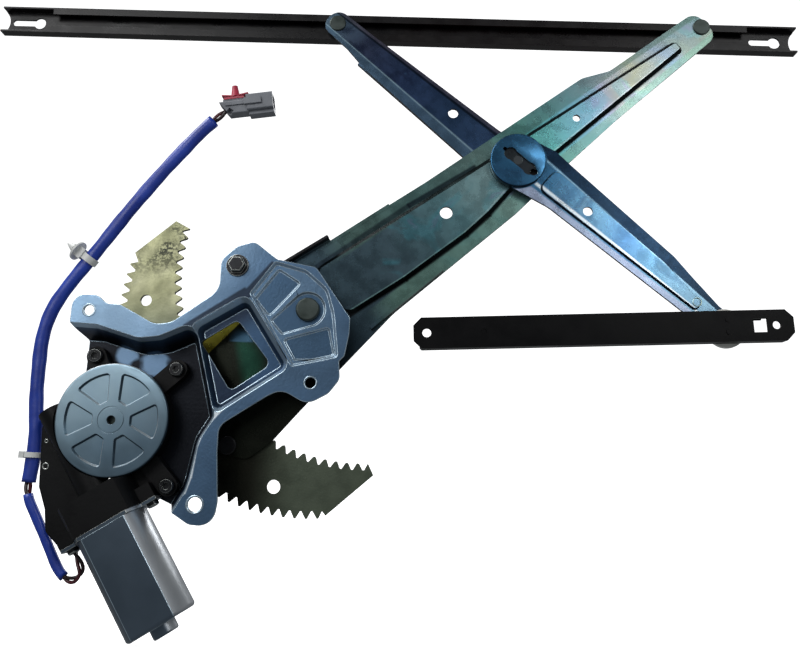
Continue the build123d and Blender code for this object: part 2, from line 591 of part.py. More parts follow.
def bracket():
    """Pressed mounting bracket: a flange with four lugs round a stepped pan and the motor's bay."""
    flange = plate(outline(*FLANGE), LUG_PLANE - SHEET, LUG_PLANE)
    limit = plate(outline(*FLANGE), BASE_TOP - SHEET - 1, LUG_PLANE + 1)
    steps = (
        (outline(*BAY), LUG_PLANE, BASE_TOP, 8.5),
        (outline(*WINDOW_PAN), LUG_PLANE, WINDOW_FLOOR, 6.0),
        (outline(*PAN), LUG_PLANE, PAN_TOP, 1.4),
        (outline(*UPPER_POCKET), PAN_TOP, PAN_TOP - POCKET_DEPTH, 0.9),
        (outline(*LOWER_POCKET), PAN_TOP, PAN_TOP - POCKET_DEPTH, 0.9),
        (pad_face(), PAN_TOP, PAN_TOP - POCKET_DEPTH, 0.9),
    )
    body = flange
    for face, top, floor, run in steps:
        wider = offset(face, SHEET)
        slope = run / (top - floor)
        body += tub(wider, top, floor - SHEET, run + SHEET * slope)
    for face, top, floor, run in steps:
        body -= tub(face, top, floor, run)
        body -= plate(face, top, LUG_PLANE + 1)
    body &= limit
    through = (BASE_TOP - SHEET - 1, LUG_PLANE + 1)
    body -= plate(outline(*WINDOW), *through)
    for lug in (LUG_A, LUG_C, LUG_B):
        body -= disc(lug, LUG_HOLE, *through)
    body -= disc(LUG_D, LUG_D_HOLE, *through)
    body -= disc((0, 0), NECK_RADIUS, PAD_BACK - 1, PAD_TOP + 1)
    body -= disc(PINION_CENTRE, SEAT_RADIUS, *through)
    for spot in CASE_SCREWS:
        body -= disc(spot, SCREW_RADIUS, BASE_TOP - SHEET - 1, BASE_TOP + 1)
    return body


def motor_shape(length, start, width, thick):
    """Round-sided block along the motor shaft, flat on its cabin and glass sides."""
    bar = Pos(start, 0, 0) * Rot(0, 90, 0) * Cylinder(
        width / 2, length, align=(Align.CENTER, Align.CENTER, Align.MIN)
    )
    return bar & (Pos(start + length / 2, 0, 0) * Box(length, width, thick))


def along(radius, start, length):
    """Cylinder on the motor shaft's axis."""
    base = (Align.CENTER, Align.CENTER, Align.MIN)
    return motor_frame * (Pos(start, 0, 0) * Rot(0, 90, 0) * Cylinder(radius, length, align=base))


def gear_housing():
    """Plastic case: cup round the worm wheel, tunnel for the worm, seat for the motor can."""
    case = disc(PINION_CENTRE, CASE_RADIUS, BASE_TOP, CASE_FRONT)
    case += disc(PINION_CENTRE, SEAT_RADIUS - LOOSE_FIT, BASE_TOP - 3.5, BASE_TOP)
    for spot in CASE_SCREWS:
        dx = spot[0] - PINION_CENTRE[0]
        dy = spot[1] - PINION_CENTRE[1]
        reach = hypot(dx, dy)
        arm = Pos(reach / 2, 0, (BASE_TOP + EAR_TOP) / 2) * Box(reach, 2 * EAR_RADIUS, EAR_TOP - BASE_TOP)
        case += Pos(*PINION_CENTRE) * Rot(0, 0, degrees(atan2(dy, dx))) * arm
        case += disc(spot, EAR_RADIUS, BASE_TOP, EAR_TOP)
    tunnel = along(TUNNEL_RADIUS, TUNNEL_END, BRUSH_START - TUNNEL_END + 2)
    brush_box = motor_frame * motor_shape(CAN_START - 2.5 - BRUSH_START, BRUSH_START, CAN_WIDTH + 4, CAN_THICK - 3)
    ears = motor_frame * (Pos(CAN_START - 2.5 - 5, 0, 0) * Box(10, 2 * FLANGE_HALF, 13))
    outlet = motor_frame * (Pos(49, OUTLET_W + 3, LEAD_Z - MOTOR_AXIS_Z) * Box(14, 14, 8))
    case += tunnel + brush_box + ears + outlet - wire_grommet()
    case -= disc(PINION_CENTRE, COVER_RADIUS + LOOSE_FIT, CASE_FRONT, LUG_PLANE + 10)
    case -= disc(PINION_CENTRE, CAVITY_RADIUS, BASE_TOP + 2.0, CASE_FRONT + 1)
    case -= disc(PINION_CENTRE, SHAFT_SEAT, BASE_TOP - 5, BASE_TOP + 3)
    case -= along(TUNNEL_RADIUS - TUNNEL_WALL, TUNNEL_END + 3, 100)
    case -= motor_frame * motor_shape(30, BRUSH_START + 4, CAN_WIDTH - 2, CAN_THICK - 9)
    for spot in CASE_SCREWS:
        case -= disc(spot, SCREW_RADIUS, BASE_TOP - 1, EAR_TOP + 1)
    for side in (1, -1):
        case -= motor_frame * (
            Pos(CAN_START - 20, side * FLANGE_SCREW_W, 0) * Rot(0, 90, 0) * Cylinder(1.9, 60)
        )
    return case


def gear_cover():
    """Round pressed lid with six pockets between its spokes, and a centre hole."""
    lid = disc(PINION_CENTRE, COVER_RADIUS, CASE_FRONT, COVER_TOP)
    lid = fillet(lid.edges().sort_by(Axis.Z)[-1], 1.2)
    half = 30 - 1.0
    pocket = make_face([
        RadiusArc(polar(32.3, -half + 6.2), polar(32.3, half - 6.2), -32.3),
        Line(polar(32.3, half - 6.2), (12.6, 3.4)),
        Line((12.6, 3.4), (12.6, -3.4)),
        Line((12.6, -3.4), polar(32.3, -half + 6.2)),
    ])
    pocket = fillet(pocket.vertices(), 2.2)
    for turn in range(6):
        cut = Pos(*PINION_CENTRE) * Rot(0, 0, 60 * turn) * tub(pocket, COVER_TOP, COVER_TOP - 1.8, 1.1)
        lid -= cut
    lid -= ring(PINION_CENTRE, 9.4, 8.4, COVER_TOP - 0.5, COVER_TOP + 1)
    return lid - disc(PINION_CENTRE, 3.1, CASE_FRONT - 1, COVER_TOP + 1)


def worm_wheel():
    """Moulded worm wheel with a pocketed web and slanted teeth cut as straight notches."""
    wheel = disc(PINION_CENTRE, WHEEL_TIP, WHEEL_BACK, WHEEL_BACK + WHEEL_FACE)
    wheel -= ring(PINION_CENTRE, 23, 13, WHEEL_BACK + 3, WHEEL_BACK + WHEEL_FACE + 1)
    notch = Pos(WHEEL_TIP, 0, WHEEL_BACK + WHEEL_FACE / 2) * Rot(7, 0, 0) * Box(4.4, 1.7, WHEEL_FACE + 4)
    for tooth in range(WHEEL_TEETH):
        wheel -= Pos(*PINION_CENTRE) * Rot(0, 0, tooth * 360 / WHEEL_TEETH) * notch
    for web in range(6):
        spoke = Pos(18, 0, WHEEL_BACK + 3 + 3) * Box(12, 2.2, 6)
        wheel += Pos(*PINION_CENTRE) * Rot(0, 0, 60 * web) * spoke
    return wheel - disc(PINION_CENTRE, SPLINE_RADIUS, WHEEL_BACK - 1, WHEEL_BACK + WHEEL_FACE + 1)


def output_pinion():
    """Output shaft with the ten-tooth pinion on its glass end."""
    shaft = pinion_teeth(-SECTOR_PLATE - 1, 2.6)
    shaft += disc(PINION_CENTRE, 11.0, 2.6, BASE_TOP - 3.5 - 0.3)
    shaft += disc(PINION_CENTRE, SPLINE_RADIUS + 1.0, BASE_TOP - 3.9, WHEEL_BACK)
    return shaft + disc(PINION_CENTRE, SPLINE_RADIUS, WHEEL_BACK, WHEEL_BACK + WHEEL_FACE)


def output_bush():
    return ring(PINION_CENTRE, SHAFT_SEAT, SPLINE_RADIUS + 1.0 + RUNNING_FIT, BASE_TOP - 3.5, BASE_TOP + 2.7)


def armature_shaft():
    """Motor shaft with the worm thread near its free end."""
    shaft = along(3.0, TUNNEL_END + 5, CAN_START + CAN_LENGTH + 3 - TUNNEL_END - 5)
    worm = along(WORM_ROOT, -14, 28)
    for turn in range(8):
        worm += along(WORM_PITCH - 0.6, -13.5 + turn * 3.6, 1.4)
    return shaft + worm


def armature_core():
    """Laminated core with winding slots."""
    core = along(CORE_RADIUS, CAN_START + 16, 38)
    for slot in range(8):
        notch = Pos(CAN_START + 35, 0, CORE_RADIUS - 2.3) * Box(40, 3, 6)
        cut = motor_frame * Rot(45 * slot, 0, 0) * notch
        core -= cut
    return core - along(3.0, CAN_START, 80)


def commutator():
    return along(8.0, CAN_START - 8, 14) - along(3.0, CAN_START - 20, 40)


def magnets():
    """Two curved magnets against the can's round sides."""
    tube = along(MAGNET_OUTER, CAN_START + 14, 44) - along(MAGNET_INNER, CAN_START + 10, 60)
    gap_width = 2 * MAGNET_OUTER * cos(radians(MAGNET_HALF_ARC))
    gap = motor_frame * (Pos(CAN_START + 36, 0, 0) * Box(60, gap_width, 60))
    inside = motor_frame * (Pos(CAN_START + 36, 0, 0) * Box(60, 60, CAN_THICK - 2 * CAN_WALL - 0.4))
    return (tube - gap) & inside


def motor_can():
    """Deep-drawn steel can with flat cabin and glass faces."""
    can = motor_shape(CAN_LENGTH, CAN_START, CAN_WIDTH, CAN_THICK)
    can = fillet(can.edges().group_by(Axis.X)[-1], 2.5)
    can -= motor_shape(CAN_LENGTH - CAN_WALL, CAN_START, CAN_WIDTH - 2 * CAN_WALL, CAN_THICK - 2 * CAN_WALL)
    boss = Pos(CAN_START + CAN_LENGTH - 0.5, 0, 0) * Rot(0, 90, 0) * Cylinder(
        8.8, 7.5, align=(Align.CENTER, Align.CENTER, Align.MIN)
    )
    can += fillet(boss.edges().sort_by(Axis.X)[-1], 1.5)
    can -= Pos(CAN_START + CAN_LENGTH - 4, 0, 0) * Rot(0, 90, 0) * Cylinder(
        6.0, 9.0, align=(Align.CENTER, Align.CENTER, Align.MIN)
    )
    return motor_frame * can


def end_bearing():
    bearing = along(6.0, CAN_START + CAN_LENGTH - 1.5, 6.0)
    return bearing - along(3.0 + RUNNING_FIT, CAN_START + CAN_LENGTH - 5, 12)


def can_flange():
    """Pressed flange that clamps the can to the gear case."""
    bar = Pos(CAN_START - 1.25, 0, 0) * Box(2.5, 2 * FLANGE_HALF, 13)
    bar += motor_shape(2.5, CAN_START - 2.5, CAN_WIDTH + 3, CAN_THICK - 0.5)
    bar -= motor_shape(6, CAN_START - 4, CAN_WIDTH - 4, CAN_THICK - 7)
    for side in (1, -1):
        bar -= Pos(CAN_START, side * FLANGE_SCREW_W, 0) * Rot(0, 90, 0) * Cylinder(1.9, 20)
    return motor_frame * bar


def flange_screws():
    """Two screws through the can's flange into the gear case."""
    screws = []
    for side in (1, -1):
        place = motor_frame * Pos(CAN_START, side * FLANGE_SCREW_W, 0) * Rot(0, 90, 0)
        head = Cylinder(4.0, 3.0, align=(Align.CENTER, Align.CENTER, Align.MIN))
        shank = Cylinder(1.9, 11.0, align=(Align.CENTER, Align.CENTER, Align.MAX))
        screws.append(place * (chamfer(head.edges().sort_by(Axis.Z)[-1], 0.6) + shank))
    return group(screws)


def brush_card():
    """Card that carries the two brushes round the commutator."""
    card = motor_frame * motor_shape(3, BRUSH_START + 8, CAN_WIDTH - 2.4, CAN_THICK - 9.4)
    card -= along(9.0, BRUSH_START, 40)
    for side in (1, -1):
        holder = Pos(BRUSH_START + 15, side * 14.5, 0) * Box(8, 10.5, 9)
        card += motor_frame * holder
    return card


def case_screws():
    screws = []
    for spot in CASE_SCREWS:
        head = disc(spot, 5.2, EAR_TOP, EAR_TOP + 3.6)
        head = chamfer(head.edges().sort_by(Axis.Z)[-1], 0.8)
        socket = Pos(spot[0], spot[1], EAR_TOP + 1.6) * extrude(RegularPolygon(2.6, 6), 3)
        screws.append(head - socket + disc(spot, SCREW_RADIUS, BASE_TOP - SHEET - 1.5, EAR_TOP))
    return group(screws)


def lug_bolt():
    """Flanged hexagon bolt fitted in lug B, head towards the cabin."""
    bolt = disc(LUG_B, 7.8, LUG_PLANE, LUG_PLANE + 1.4)
    head = Pos(LUG_B[0], LUG_B[1], LUG_PLANE + 1.4) * extrude(RegularPolygon(6.0, 6), 4.2)
    bolt += chamfer(head.edges().group_by(Axis.Z)[-1], 0.5)
    bolt += disc(LUG_B, LUG_HOLE, LUG_PLANE - 14, LUG_PLANE)
    return bolt


def plan_route():
    return [(x, y, LEAD_Z) for x, y in LEAD_ROUTE]


def lead_tube(first, last, radius):
    """Tube along the route from the middle of one run to the middle of another."""
    points = [Vector(*point) for point in plan_route()]
    runs = [(b - a).length for a, b in zip(points, points[1:])]
    start = points[0] if first == 0 else (points[first - 1] + points[first]) * 0.5
    end = points[-1] if last == len(points) - 1 else (points[last] + points[last + 1]) * 0.5
    corners = []
    radii = []
    for index in range(max(first, 1), min(last, len(points) - 2) + 1):
        before = points[index] - points[index - 1]
        after = points[index + 1] - points[index]
        turn = before.get_angle(after)
        bend = 0.45 * min(runs[index - 1], runs[index]) / tan(radians(turn / 2))
        corners.append(points[index])
        radii.append(bend)
        print(f"lead bend {index}: turn {turn:.0f} degrees, radius {bend:.1f}")
    path = FilletPolyline(start, *corners, end, radius=radii)
    profile = Plane(origin=path @ 0, z_dir=path % 0) * Circle(radius)
    tube = sweep(profile, path=path)
    expected = pi * radius * radius * path.length
    print(f"lead piece {first}-{last}: length {path.length:.1f}, volume ratio {tube.volume / expected:.4f}")
    return tube


def lead_end_frame():
    last = Vector(*plan_route()[-1])
    run = last - Vector(*plan_route()[-2])
    return Pos(last.X, last.Y, last.Z) * Rot(0, 0, degrees(atan2(run.Y, run.X)))


def connector():
    """Two-way plug: slim rear body, wider front shell with an open mouth, clip rail, lower lip."""
    rear = Pos(6, 0.8, 0) * Box(24, 10.4, 9.5)
    front = Pos(27, 3.0, 0) * Box(20, 12.8, 12.5)
    rail = Pos(8.5, 6.9, 0) * Box(19, 2.4, 6.0)
    lip = Pos(27.5, -4.6, -1.0) * Box(19, 3.2, 8.0)
    guard = Pos(9, 2.6, 5.2) * Box(16, 1.6, 1.4)
    body = fillet(rear.edges().filter_by(Axis.X), 1.0) + fillet(front.edges().filter_by(Axis.X), 1.0)
    body += rail + lip + guard
    body -= Pos(30, 3, 0) * Box(20, 9.8, 8.5)
    body -= Pos(3, -3.6, 3.4) * Rot(0, 0, -40) * Box(4, 7, 4)
    latch = Pos(22, 3, 7.0) * Box(13, 5, 1.8)
    behind_sleeve = lead_end_frame() * Pos(-20, 0, 0) * Box(40, 60, 60)
    return connector_frame * (body + latch) - behind_sleeve


def connector_pins():
    pins = []
    for side in (1, -1):
        pins.append(connector_frame * (Pos(25.5, 3 + side * 2.6, 0) * Box(11, 0.8, 2.2)))
    return group(pins)


def connector_clip():
    """Push-in clip on the plug's rail: plate, two thin wings and a tapered stem."""
    clip = Pos(7.5, 8.9, 0) * Box(15, 1.6, 7)
    clip += Pos(8.5, 10.4, 0) * Box(7, 2.0, 5)
    for side in (1, -1):
        wing = Pos(8.5 + side * 5.4, 11.3, 0) * Rot(0, 0, side * 8) * Box(9.5, 1.0, 6)
        clip += wing
    clip += Pos(8.5, 15.0, 0) * Rot(-90, 0, 0) * Cone(3.6, 2.2, 9.0)
    return connector_frame * clip


def on_run(index, share=0.5):
    a = Vector(*plan_route()[index])
    b = Vector(*plan_route()[index + 1])
    spot = a + (b - a) * share
    return Pos(spot.X, spot.Y, spot.Z) * Rot(0, 0, degrees(atan2(b.Y - a.Y, b.X - a.X)))


def cable_tie():
    """Strap round the sleeve with its lock block and cut tail."""
    band = Rot(0, 90, 0) * (Cylinder(UPPER_SLEEVE_RADIUS + 1.3, 3.6) - Cylinder(UPPER_SLEEVE_RADIUS + 0.3, 5))
    lock = Pos(0, UPPER_SLEEVE_RADIUS + 2.9, 0) * Box(4.6, 3.6, 5.0)
    tail = Pos(0, -UPPER_SLEEVE_RADIUS - 4.0, 0) * Box(3.4, 6.0, 1.2)
    return on_run(TIE_RUN_INDEX, 0.3) * (band + lock + tail)


def harness_clip():
    """Strap with a fir-tree clip that pushes into the door panel."""
    band = Rot(0, 90, 0) * (Cylinder(UPPER_SLEEVE_RADIUS + 1.3, 5.0) - Cylinder(UPPER_SLEEVE_RADIUS + 0.3, 7))
    base = Pos(0, UPPER_SLEEVE_RADIUS + 3.4, 0) * Box(8, 5.0, 7)
    dish = Pos(0, UPPER_SLEEVE_RADIUS + 6.6, 0) * Rot(90, 0, 0) * Cylinder(7.5, 1.4)
    stem = Pos(0, UPPER_SLEEVE_RADIUS + 11.0, 0) * Box(2.4, 8.0, 2.4)
    arrow = Pos(0, UPPER_SLEEVE_RADIUS + 13.2, 0) * Rot(-90, 0, 0) * Cone(3.6, 0.8, 6.5)
    return on_run(CLIP_RUN_INDEX, 0.75) * (band + base + dish + stem + arrow)


def wire_grommet():
    start = Vector(*plan_route()[0])
    ahead = Vector(*plan_route()[1]) - start
    place = Pos(start.X, start.Y, start.Z) * Rot(0, 0, degrees(atan2(ahead.Y, ahead.X)))
    body = Pos(-1.5, 0, 0) * Rot(0, 90, 0) * Cylinder(3.0, 3.0)
    return place * body


save("bracket", bracket())
save("lug_bolt", lug_bolt())
save("pivot_pin", pivot_pin())
save("gear_housing", gear_housing())
save("gear_cover", gear_cover())
save("case_screws", case_screws())
save("output_bush", output_bush())
save("motor_can", motor_can())
save("can_flange", can_flange())
save("flange_screws", flange_screws())
save("end_bearing", end_bearing())
save("magnets", magnets())
save("brush_card", brush_card())
save("armature_shaft", armature_shaft())
save("armature_core", armature_core())
save("commutator", commutator())
save("worm_wheel", worm_wheel())
save("output_pinion", output_pinion())
save("lift_arm", lift_arm())
save("sector_gear", sector_gear())
save("sector_rivets", sector_rivets())
save("pivot_bush", pivot_bush())
save("glass_stud_1", glass_stud(GLASS_1, ARM_SHEET, 0))
save("assist_arm_front", assist_arm_front())
save("assist_arm_rear", assist_arm_rear())
save("centre_hub", centre_hub())
save("centre_rivet", centre_rivet())
save("centre_washers", centre_washers())
save("glass_stud_2", glass_stud(GLASS_2, ASSIST_REAR_FRONT, ASSIST_REAR_FRONT - ASSIST_SHEET))
save("door_stud", door_stud())
save("glass_roller_1", roller(GLASS_1, ROLLER_Z - ROLLER_THICK))
save("glass_roller_2", roller(GLASS_2, ROLLER_Z - ROLLER_THICK))
save("door_roller", roller(DOOR_STUD, DOOR_ROLLER_Z))
save("roller_shield", roller_shield())
save("upper_rail", upper_rail())
save("lower_rail", lower_rail())
save("wire_grommet", wire_grommet())
save("motor_wires", lead_tube(0, WIRE_CORNER_COUNT, WIRE_RADIUS))
save("lower_sleeve", lead_tube(
    WIRE_CORNER_COUNT + 1, LOWER_SLEEVE_CORNER_COUNT, LOWER_SLEEVE_RADIUS
))
save("upper_sleeve", lead_tube(LOWER_SLEEVE_CORNER_COUNT + 1, LEAD_END, UPPER_SLEEVE_RADIUS))
save("cable_tie", cable_tie())
save("harness_clip", harness_clip())
save("connector", connector())
save("connector_pins", connector_pins())
save("connector_clip", connector_clip())
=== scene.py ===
"""Looks of a cross-arm window regulator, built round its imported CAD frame."""

import json
from math import cos, pi, radians, sin

import bmesh
import bpy
from mathutils import Matrix, Vector


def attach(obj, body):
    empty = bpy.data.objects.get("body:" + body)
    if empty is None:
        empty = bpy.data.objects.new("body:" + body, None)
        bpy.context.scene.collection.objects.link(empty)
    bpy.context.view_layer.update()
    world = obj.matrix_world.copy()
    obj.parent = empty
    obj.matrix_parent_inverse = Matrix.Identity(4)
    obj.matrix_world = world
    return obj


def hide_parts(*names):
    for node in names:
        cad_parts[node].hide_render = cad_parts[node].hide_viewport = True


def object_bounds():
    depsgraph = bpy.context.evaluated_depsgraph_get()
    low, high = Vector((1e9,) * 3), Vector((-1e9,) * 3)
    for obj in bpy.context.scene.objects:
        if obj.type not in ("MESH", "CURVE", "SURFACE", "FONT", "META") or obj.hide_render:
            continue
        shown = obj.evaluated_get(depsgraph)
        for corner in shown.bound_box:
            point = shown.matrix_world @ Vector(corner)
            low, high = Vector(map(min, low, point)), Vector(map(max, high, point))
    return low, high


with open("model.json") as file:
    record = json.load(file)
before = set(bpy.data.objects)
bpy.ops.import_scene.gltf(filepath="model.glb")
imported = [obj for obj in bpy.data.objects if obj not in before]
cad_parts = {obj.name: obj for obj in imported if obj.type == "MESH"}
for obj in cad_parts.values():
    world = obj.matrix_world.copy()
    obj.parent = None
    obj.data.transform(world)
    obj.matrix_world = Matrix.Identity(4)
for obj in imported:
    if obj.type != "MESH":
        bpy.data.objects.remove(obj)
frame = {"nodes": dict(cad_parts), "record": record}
cad_low, cad_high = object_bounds()
NODES = frame["nodes"]
BODY_OF = {
    node: body
    for body, nodes in frame["record"]["behaviour"]["bodies"].items()
    for node in nodes
}
SLOT_OF = {row["node"]: row["material_slot"] for row in frame["record"]["subparts"]}

# The pieces are measured lying flat, as in the part's source: X right, Y up the door and Z towards
# the cabin, from the lift pivot. row() turns such a point, in millimetres, into the frame's metres.
MM = 0.001
LUG_C = (5.3, -51.2)
LUG_PLANE = 30.0
ARM_ANGLE = radians(39.8)
PIVOT_TO_CENTRE = 191.0


def row(x, y, z):
    """A point of the plan, in millimetres, as a point of the frame, in metres."""
    return Vector((x - LUG_C[0], LUG_PLANE - z, y - LUG_C[1])) * MM


def row_way(x, y, z=0.0):
    """A direction in the plan as a direction in the frame."""
    return Vector((x, -z, y)).normalized()


def on_arm(along, across, height):
    """A point of the frame, from millimetres along and across the lift arm and its height."""
    x = along * cos(ARM_ANGLE) - across * sin(ARM_ANGLE)
    y = along * sin(ARM_ANGLE) + across * cos(ARM_ANGLE)
    return row(x, y, height)


def arm_place(point):
    """Millimetres along and across the lift arm and height, of a point of the frame."""
    x = point.x / MM + LUG_C[0]
    y = point.z / MM + LUG_C[1]
    along = x * cos(ARM_ANGLE) + y * sin(ARM_ANGLE)
    across = y * cos(ARM_ANGLE) - x * sin(ARM_ANGLE)
    return along, across, LUG_PLANE - point.y / MM


# Camera, matched to the photo
CAMERA_PLACE = row(76.59, -110.66, 544.5)
CAMERA_HEADING = radians(1.350)
CAMERA_RISE = radians(11.265)
CAMERA_ROLL = radians(2.294)
CAMERA_LENS = 34.41
SENSOR_WIDTH = 36.0
NEAREST_SEEN = 0.05
FARTHEST_SEEN = 20


def add_camera():
    data = bpy.data.cameras.new("camera")
    data.lens = CAMERA_LENS
    data.sensor_width = SENSOR_WIDTH
    data.clip_start = NEAREST_SEEN
    data.clip_end = FARTHEST_SEEN
    camera = bpy.data.objects.new("camera", data)
    bpy.context.scene.collection.objects.link(camera)
    flat = cos(CAMERA_RISE)
    sight = Vector((-sin(CAMERA_HEADING) * flat, cos(CAMERA_HEADING) * flat, sin(CAMERA_RISE)))
    turn = sight.to_track_quat("-Z", "Y").to_matrix() @ Matrix.Rotation(CAMERA_ROLL, 3, "Z")
    camera.matrix_world = Matrix.Translation(CAMERA_PLACE) @ turn.to_4x4()
    bpy.context.scene.camera = camera


# Materials
GRAIN_BUMP_DEPTH = 0.0004
# Sockets of a mix node that carry colours, by number because its other kinds share their names
MIX_A = 6
MIX_B = 7
MIX_RESULT = 2


def linear(part):
    """Linear value of one screen colour part, by the sRGB curve."""
    return part / 12.92 if part <= 0.04045 else ((part + 0.055) / 1.055) ** 2.4


def colour(code):
    """Linear colour of a hexadecimal screen colour."""
    return tuple(linear(int(code[i:i + 2], 16) / 255) for i in (0, 2, 4)) + (1.0,)


class Look:
    """A material under construction: its node tree and a few shorthands."""

    def __init__(self, name, metallic=0.0, **fixed):
        self.material = bpy.data.materials.new(name)
        self.material.use_nodes = True
        self.tree = self.material.node_tree
        self.shader = self.tree.nodes["Principled BSDF"]
        self.shader.inputs["Metallic"].default_value = metallic
        for socket, value in fixed.items():
            self.shader.inputs[socket.replace("_", " ")].default_value = value
        self.place = self.add("ShaderNodeTexCoord").outputs["Object"]

    def add(self, kind, **settings):
        node = self.tree.nodes.new(kind)
        for name, value in settings.items():
            setattr(node, name, value)
        return node

    def join(self, output, target):
        self.tree.links.new(output, target)

    def feed(self, value, target):
        """Gives an input another node's output or a fixed value."""
        if isinstance(value, bpy.types.NodeSocket):
            self.join(value, target)
        else:
            target.default_value = value

    def noise(self, scale, detail=4.0, rough=0.55, distortion=0.0):
        node = self.add("ShaderNodeTexNoise")
        node.inputs["Scale"].default_value = scale
        node.inputs["Detail"].default_value = detail
        node.inputs["Roughness"].default_value = rough
        node.inputs["Distortion"].default_value = distortion
        self.join(self.place, node.inputs["Vector"])
        return node.outputs["Fac"]

    def ramp(self, factor, stops):
        node = self.add("ShaderNodeValToRGB")
        elements = node.color_ramp.elements
        elements[0].position, elements[0].color = stops[0]
        elements[1].position, elements[1].color = stops[-1]
        for position, shade in stops[1:-1]:
            elements.new(position).color = shade
        self.join(factor, node.inputs["Fac"])
        return node.outputs["Color"]

    def drift(self, dark, light, scale, detail):
        """Colour that drifts between two shades in clouds."""
        return self.ramp(self.noise(scale, detail), ((0.3, colour(dark)), (0.7, colour(light))))

    def math(self, operation, *values):
        node = self.add("ShaderNodeMath", operation=operation)
        for value, target in zip(values, node.inputs):
            self.feed(value, target)
        return node.outputs["Value"]

    def times(self, *shares):
        """Product of shares from 0 to 1."""
        product = shares[0]
        for share in shares[1:]:
            product = self.math("MULTIPLY", product, share)
        return product

    def swing(self, value, reach):
        """A noise from 0 to 1 as a number that swings round zero."""
        return self.math("MULTIPLY", self.math("SUBTRACT", value, 0.5), reach)

    def spread(self, value, low, high, to_low=0.0, to_high=1.0):
        """to_low where a value is under low and to_high over high, with a smooth step between."""
        node = self.add("ShaderNodeMapRange", interpolation_type="SMOOTHSTEP")
        limits = {"From Min": low, "From Max": high, "To Min": to_low, "To Max": to_high}
        for socket, number in limits.items():
            node.inputs[socket].default_value = number
        self.join(value, node.inputs["Value"])
        return node.outputs["Result"]

    def under(self, value, low, high, most=1.0):
        """most where a value is under low and 0 over high."""
        return self.spread(value, low, high, most, 0.0)

    def mix(self, factor, a, b, blend="MIX"):
        """Colour a, with a share of colour b laid over it."""
        node = self.add("ShaderNodeMix", data_type="RGBA", blend_type=blend)
        self.join(factor, node.inputs["Factor"])
        self.feed(a, node.inputs[MIX_A])
        self.feed(b, node.inputs[MIX_B])
        return node.outputs[MIX_RESULT]

    def along(self, origin, way):
        """Distance in metres from origin along a direction."""
        dot = self.add("ShaderNodeVectorMath", operation="DOT_PRODUCT")
        self.join(self.place, dot.inputs[0])
        dot.inputs[1].default_value = way
        return self.math("SUBTRACT", dot.outputs["Value"], origin.dot(way))

    def distance(self, spot):
        """Distance in metres from a spot."""
        node = self.add("ShaderNodeVectorMath", operation="DISTANCE")
        self.join(self.place, node.inputs[0])
        node.inputs[1].default_value = spot
        return node.outputs["Value"]

    def depth(self):
        """Distance in metres behind the front of the lugs."""
        parts = self.add("ShaderNodeSeparateXYZ")
        self.join(self.place, parts.inputs["Vector"])
        return parts.outputs["Y"]

    def band(self, start, end, half, soft=0.0018):
        """1 within half a width of the line between two spots, with a soft edge."""
        way = (end - start).normalized()
        run = self.along(start, way)
        length = (end - start).length
        side = self.math("ABSOLUTE", self.along(start, Vector((-way.z, 0, way.x))))
        inside = self.times(self.spread(run, -soft, 0.0), self.under(run, length, length + soft))
        return self.times(inside, self.under(side, half - soft, half))

    def tilt(self, way):
        """How far a face leans towards a direction, from -1 to 1."""
        node = self.add("ShaderNodeVectorMath", operation="DOT_PRODUCT")
        self.join(self.add("ShaderNodeTexCoord").outputs["Normal"], node.inputs[0])
        node.inputs[1].default_value = way
        return node.outputs["Value"]

    def painted_relief_light(self, shade, dark, light, most):
        """Painted shade on walls that lean away from the upper left, painted highlight on those that lean
        to it.
        """
        leaning = self.tilt(row_way(-0.5, 0.86))
        shade = self.mix(self.under(leaning, -0.5, -0.15, most), shade, colour(dark))
        return self.mix(self.spread(leaning, 0.2, 0.55, 0.0, most), shade, colour(light))

    def painted_dimming(self, shade, spot, way, near, far, tint, *where):
        """Painted shade: the colour times a tint that ends between near and far millimetres past a spot.
        """
        share = self.under(self.along(spot, way), near * MM, far * MM)
        return self.mix(self.times(share, *where), shade, tint, "MULTIPLY")

    def front(self):
        """1 on a face that looks at the cabin, -1 on one that looks at the door."""
        parts = self.add("ShaderNodeSeparateXYZ")
        self.join(self.add("ShaderNodeTexCoord").outputs["Normal"], parts.inputs["Vector"])
        return self.math("MULTIPLY", parts.outputs["Y"], -1.0)

    def facing(self):
        """1 on a flat face, 0 on an upright wall."""
        return self.math("ABSOLUTE", self.front())

    def finish(self, base, rough=(0.35, 0.5), rough_scale=60, bump=0.0, bump_scale=300):
        """Closes the material: its colour, a roughness that drifts, and a fine grain."""
        self.join(base, self.shader.inputs["Base Color"])
        worn = self.noise(rough_scale, 5.0)
        self.join(self.spread(worn, 0.3, 0.7, *rough), self.shader.inputs["Roughness"])
        if bump:
            node = self.add("ShaderNodeBump")
            node.inputs["Strength"].default_value = bump
            node.inputs["Distance"].default_value = GRAIN_BUMP_DEPTH
            self.join(self.noise(bump_scale, 1.0), node.inputs["Height"])
            self.join(node.outputs["Normal"], self.shader.inputs["Normal"])
        return self.material


def mottled(name, dark, light, scale, metallic, **settings):
    """A finish that drifts between two shades."""
    fixed = settings.pop("fixed", {})
    look = Look(name, metallic, **fixed)
    return look.finish(look.drift(dark, light, scale, 5.0), **settings)


# Round disc at the crossing: radii and depths, in metres, over which its looks fade
DISC_MIDDLE = on_arm(PIVOT_TO_CENTRE, 0, 11)
DISC_STRIPS_FROM = (0.0212, 0.0222)
DISC_TINT_TO = (0.0208, 0.0214)
DISC_TINT = (0.66, 0.68, 0.68, 1.0)
DISC_TINT_MOST = 0.75
DISC_SUNK_TO = (0.0178, 0.0184)
DISC_SUNK_FROM_DEPTH = (0.0181, 0.0188)
DISC_SUNK_COLOUR = "2d3236"
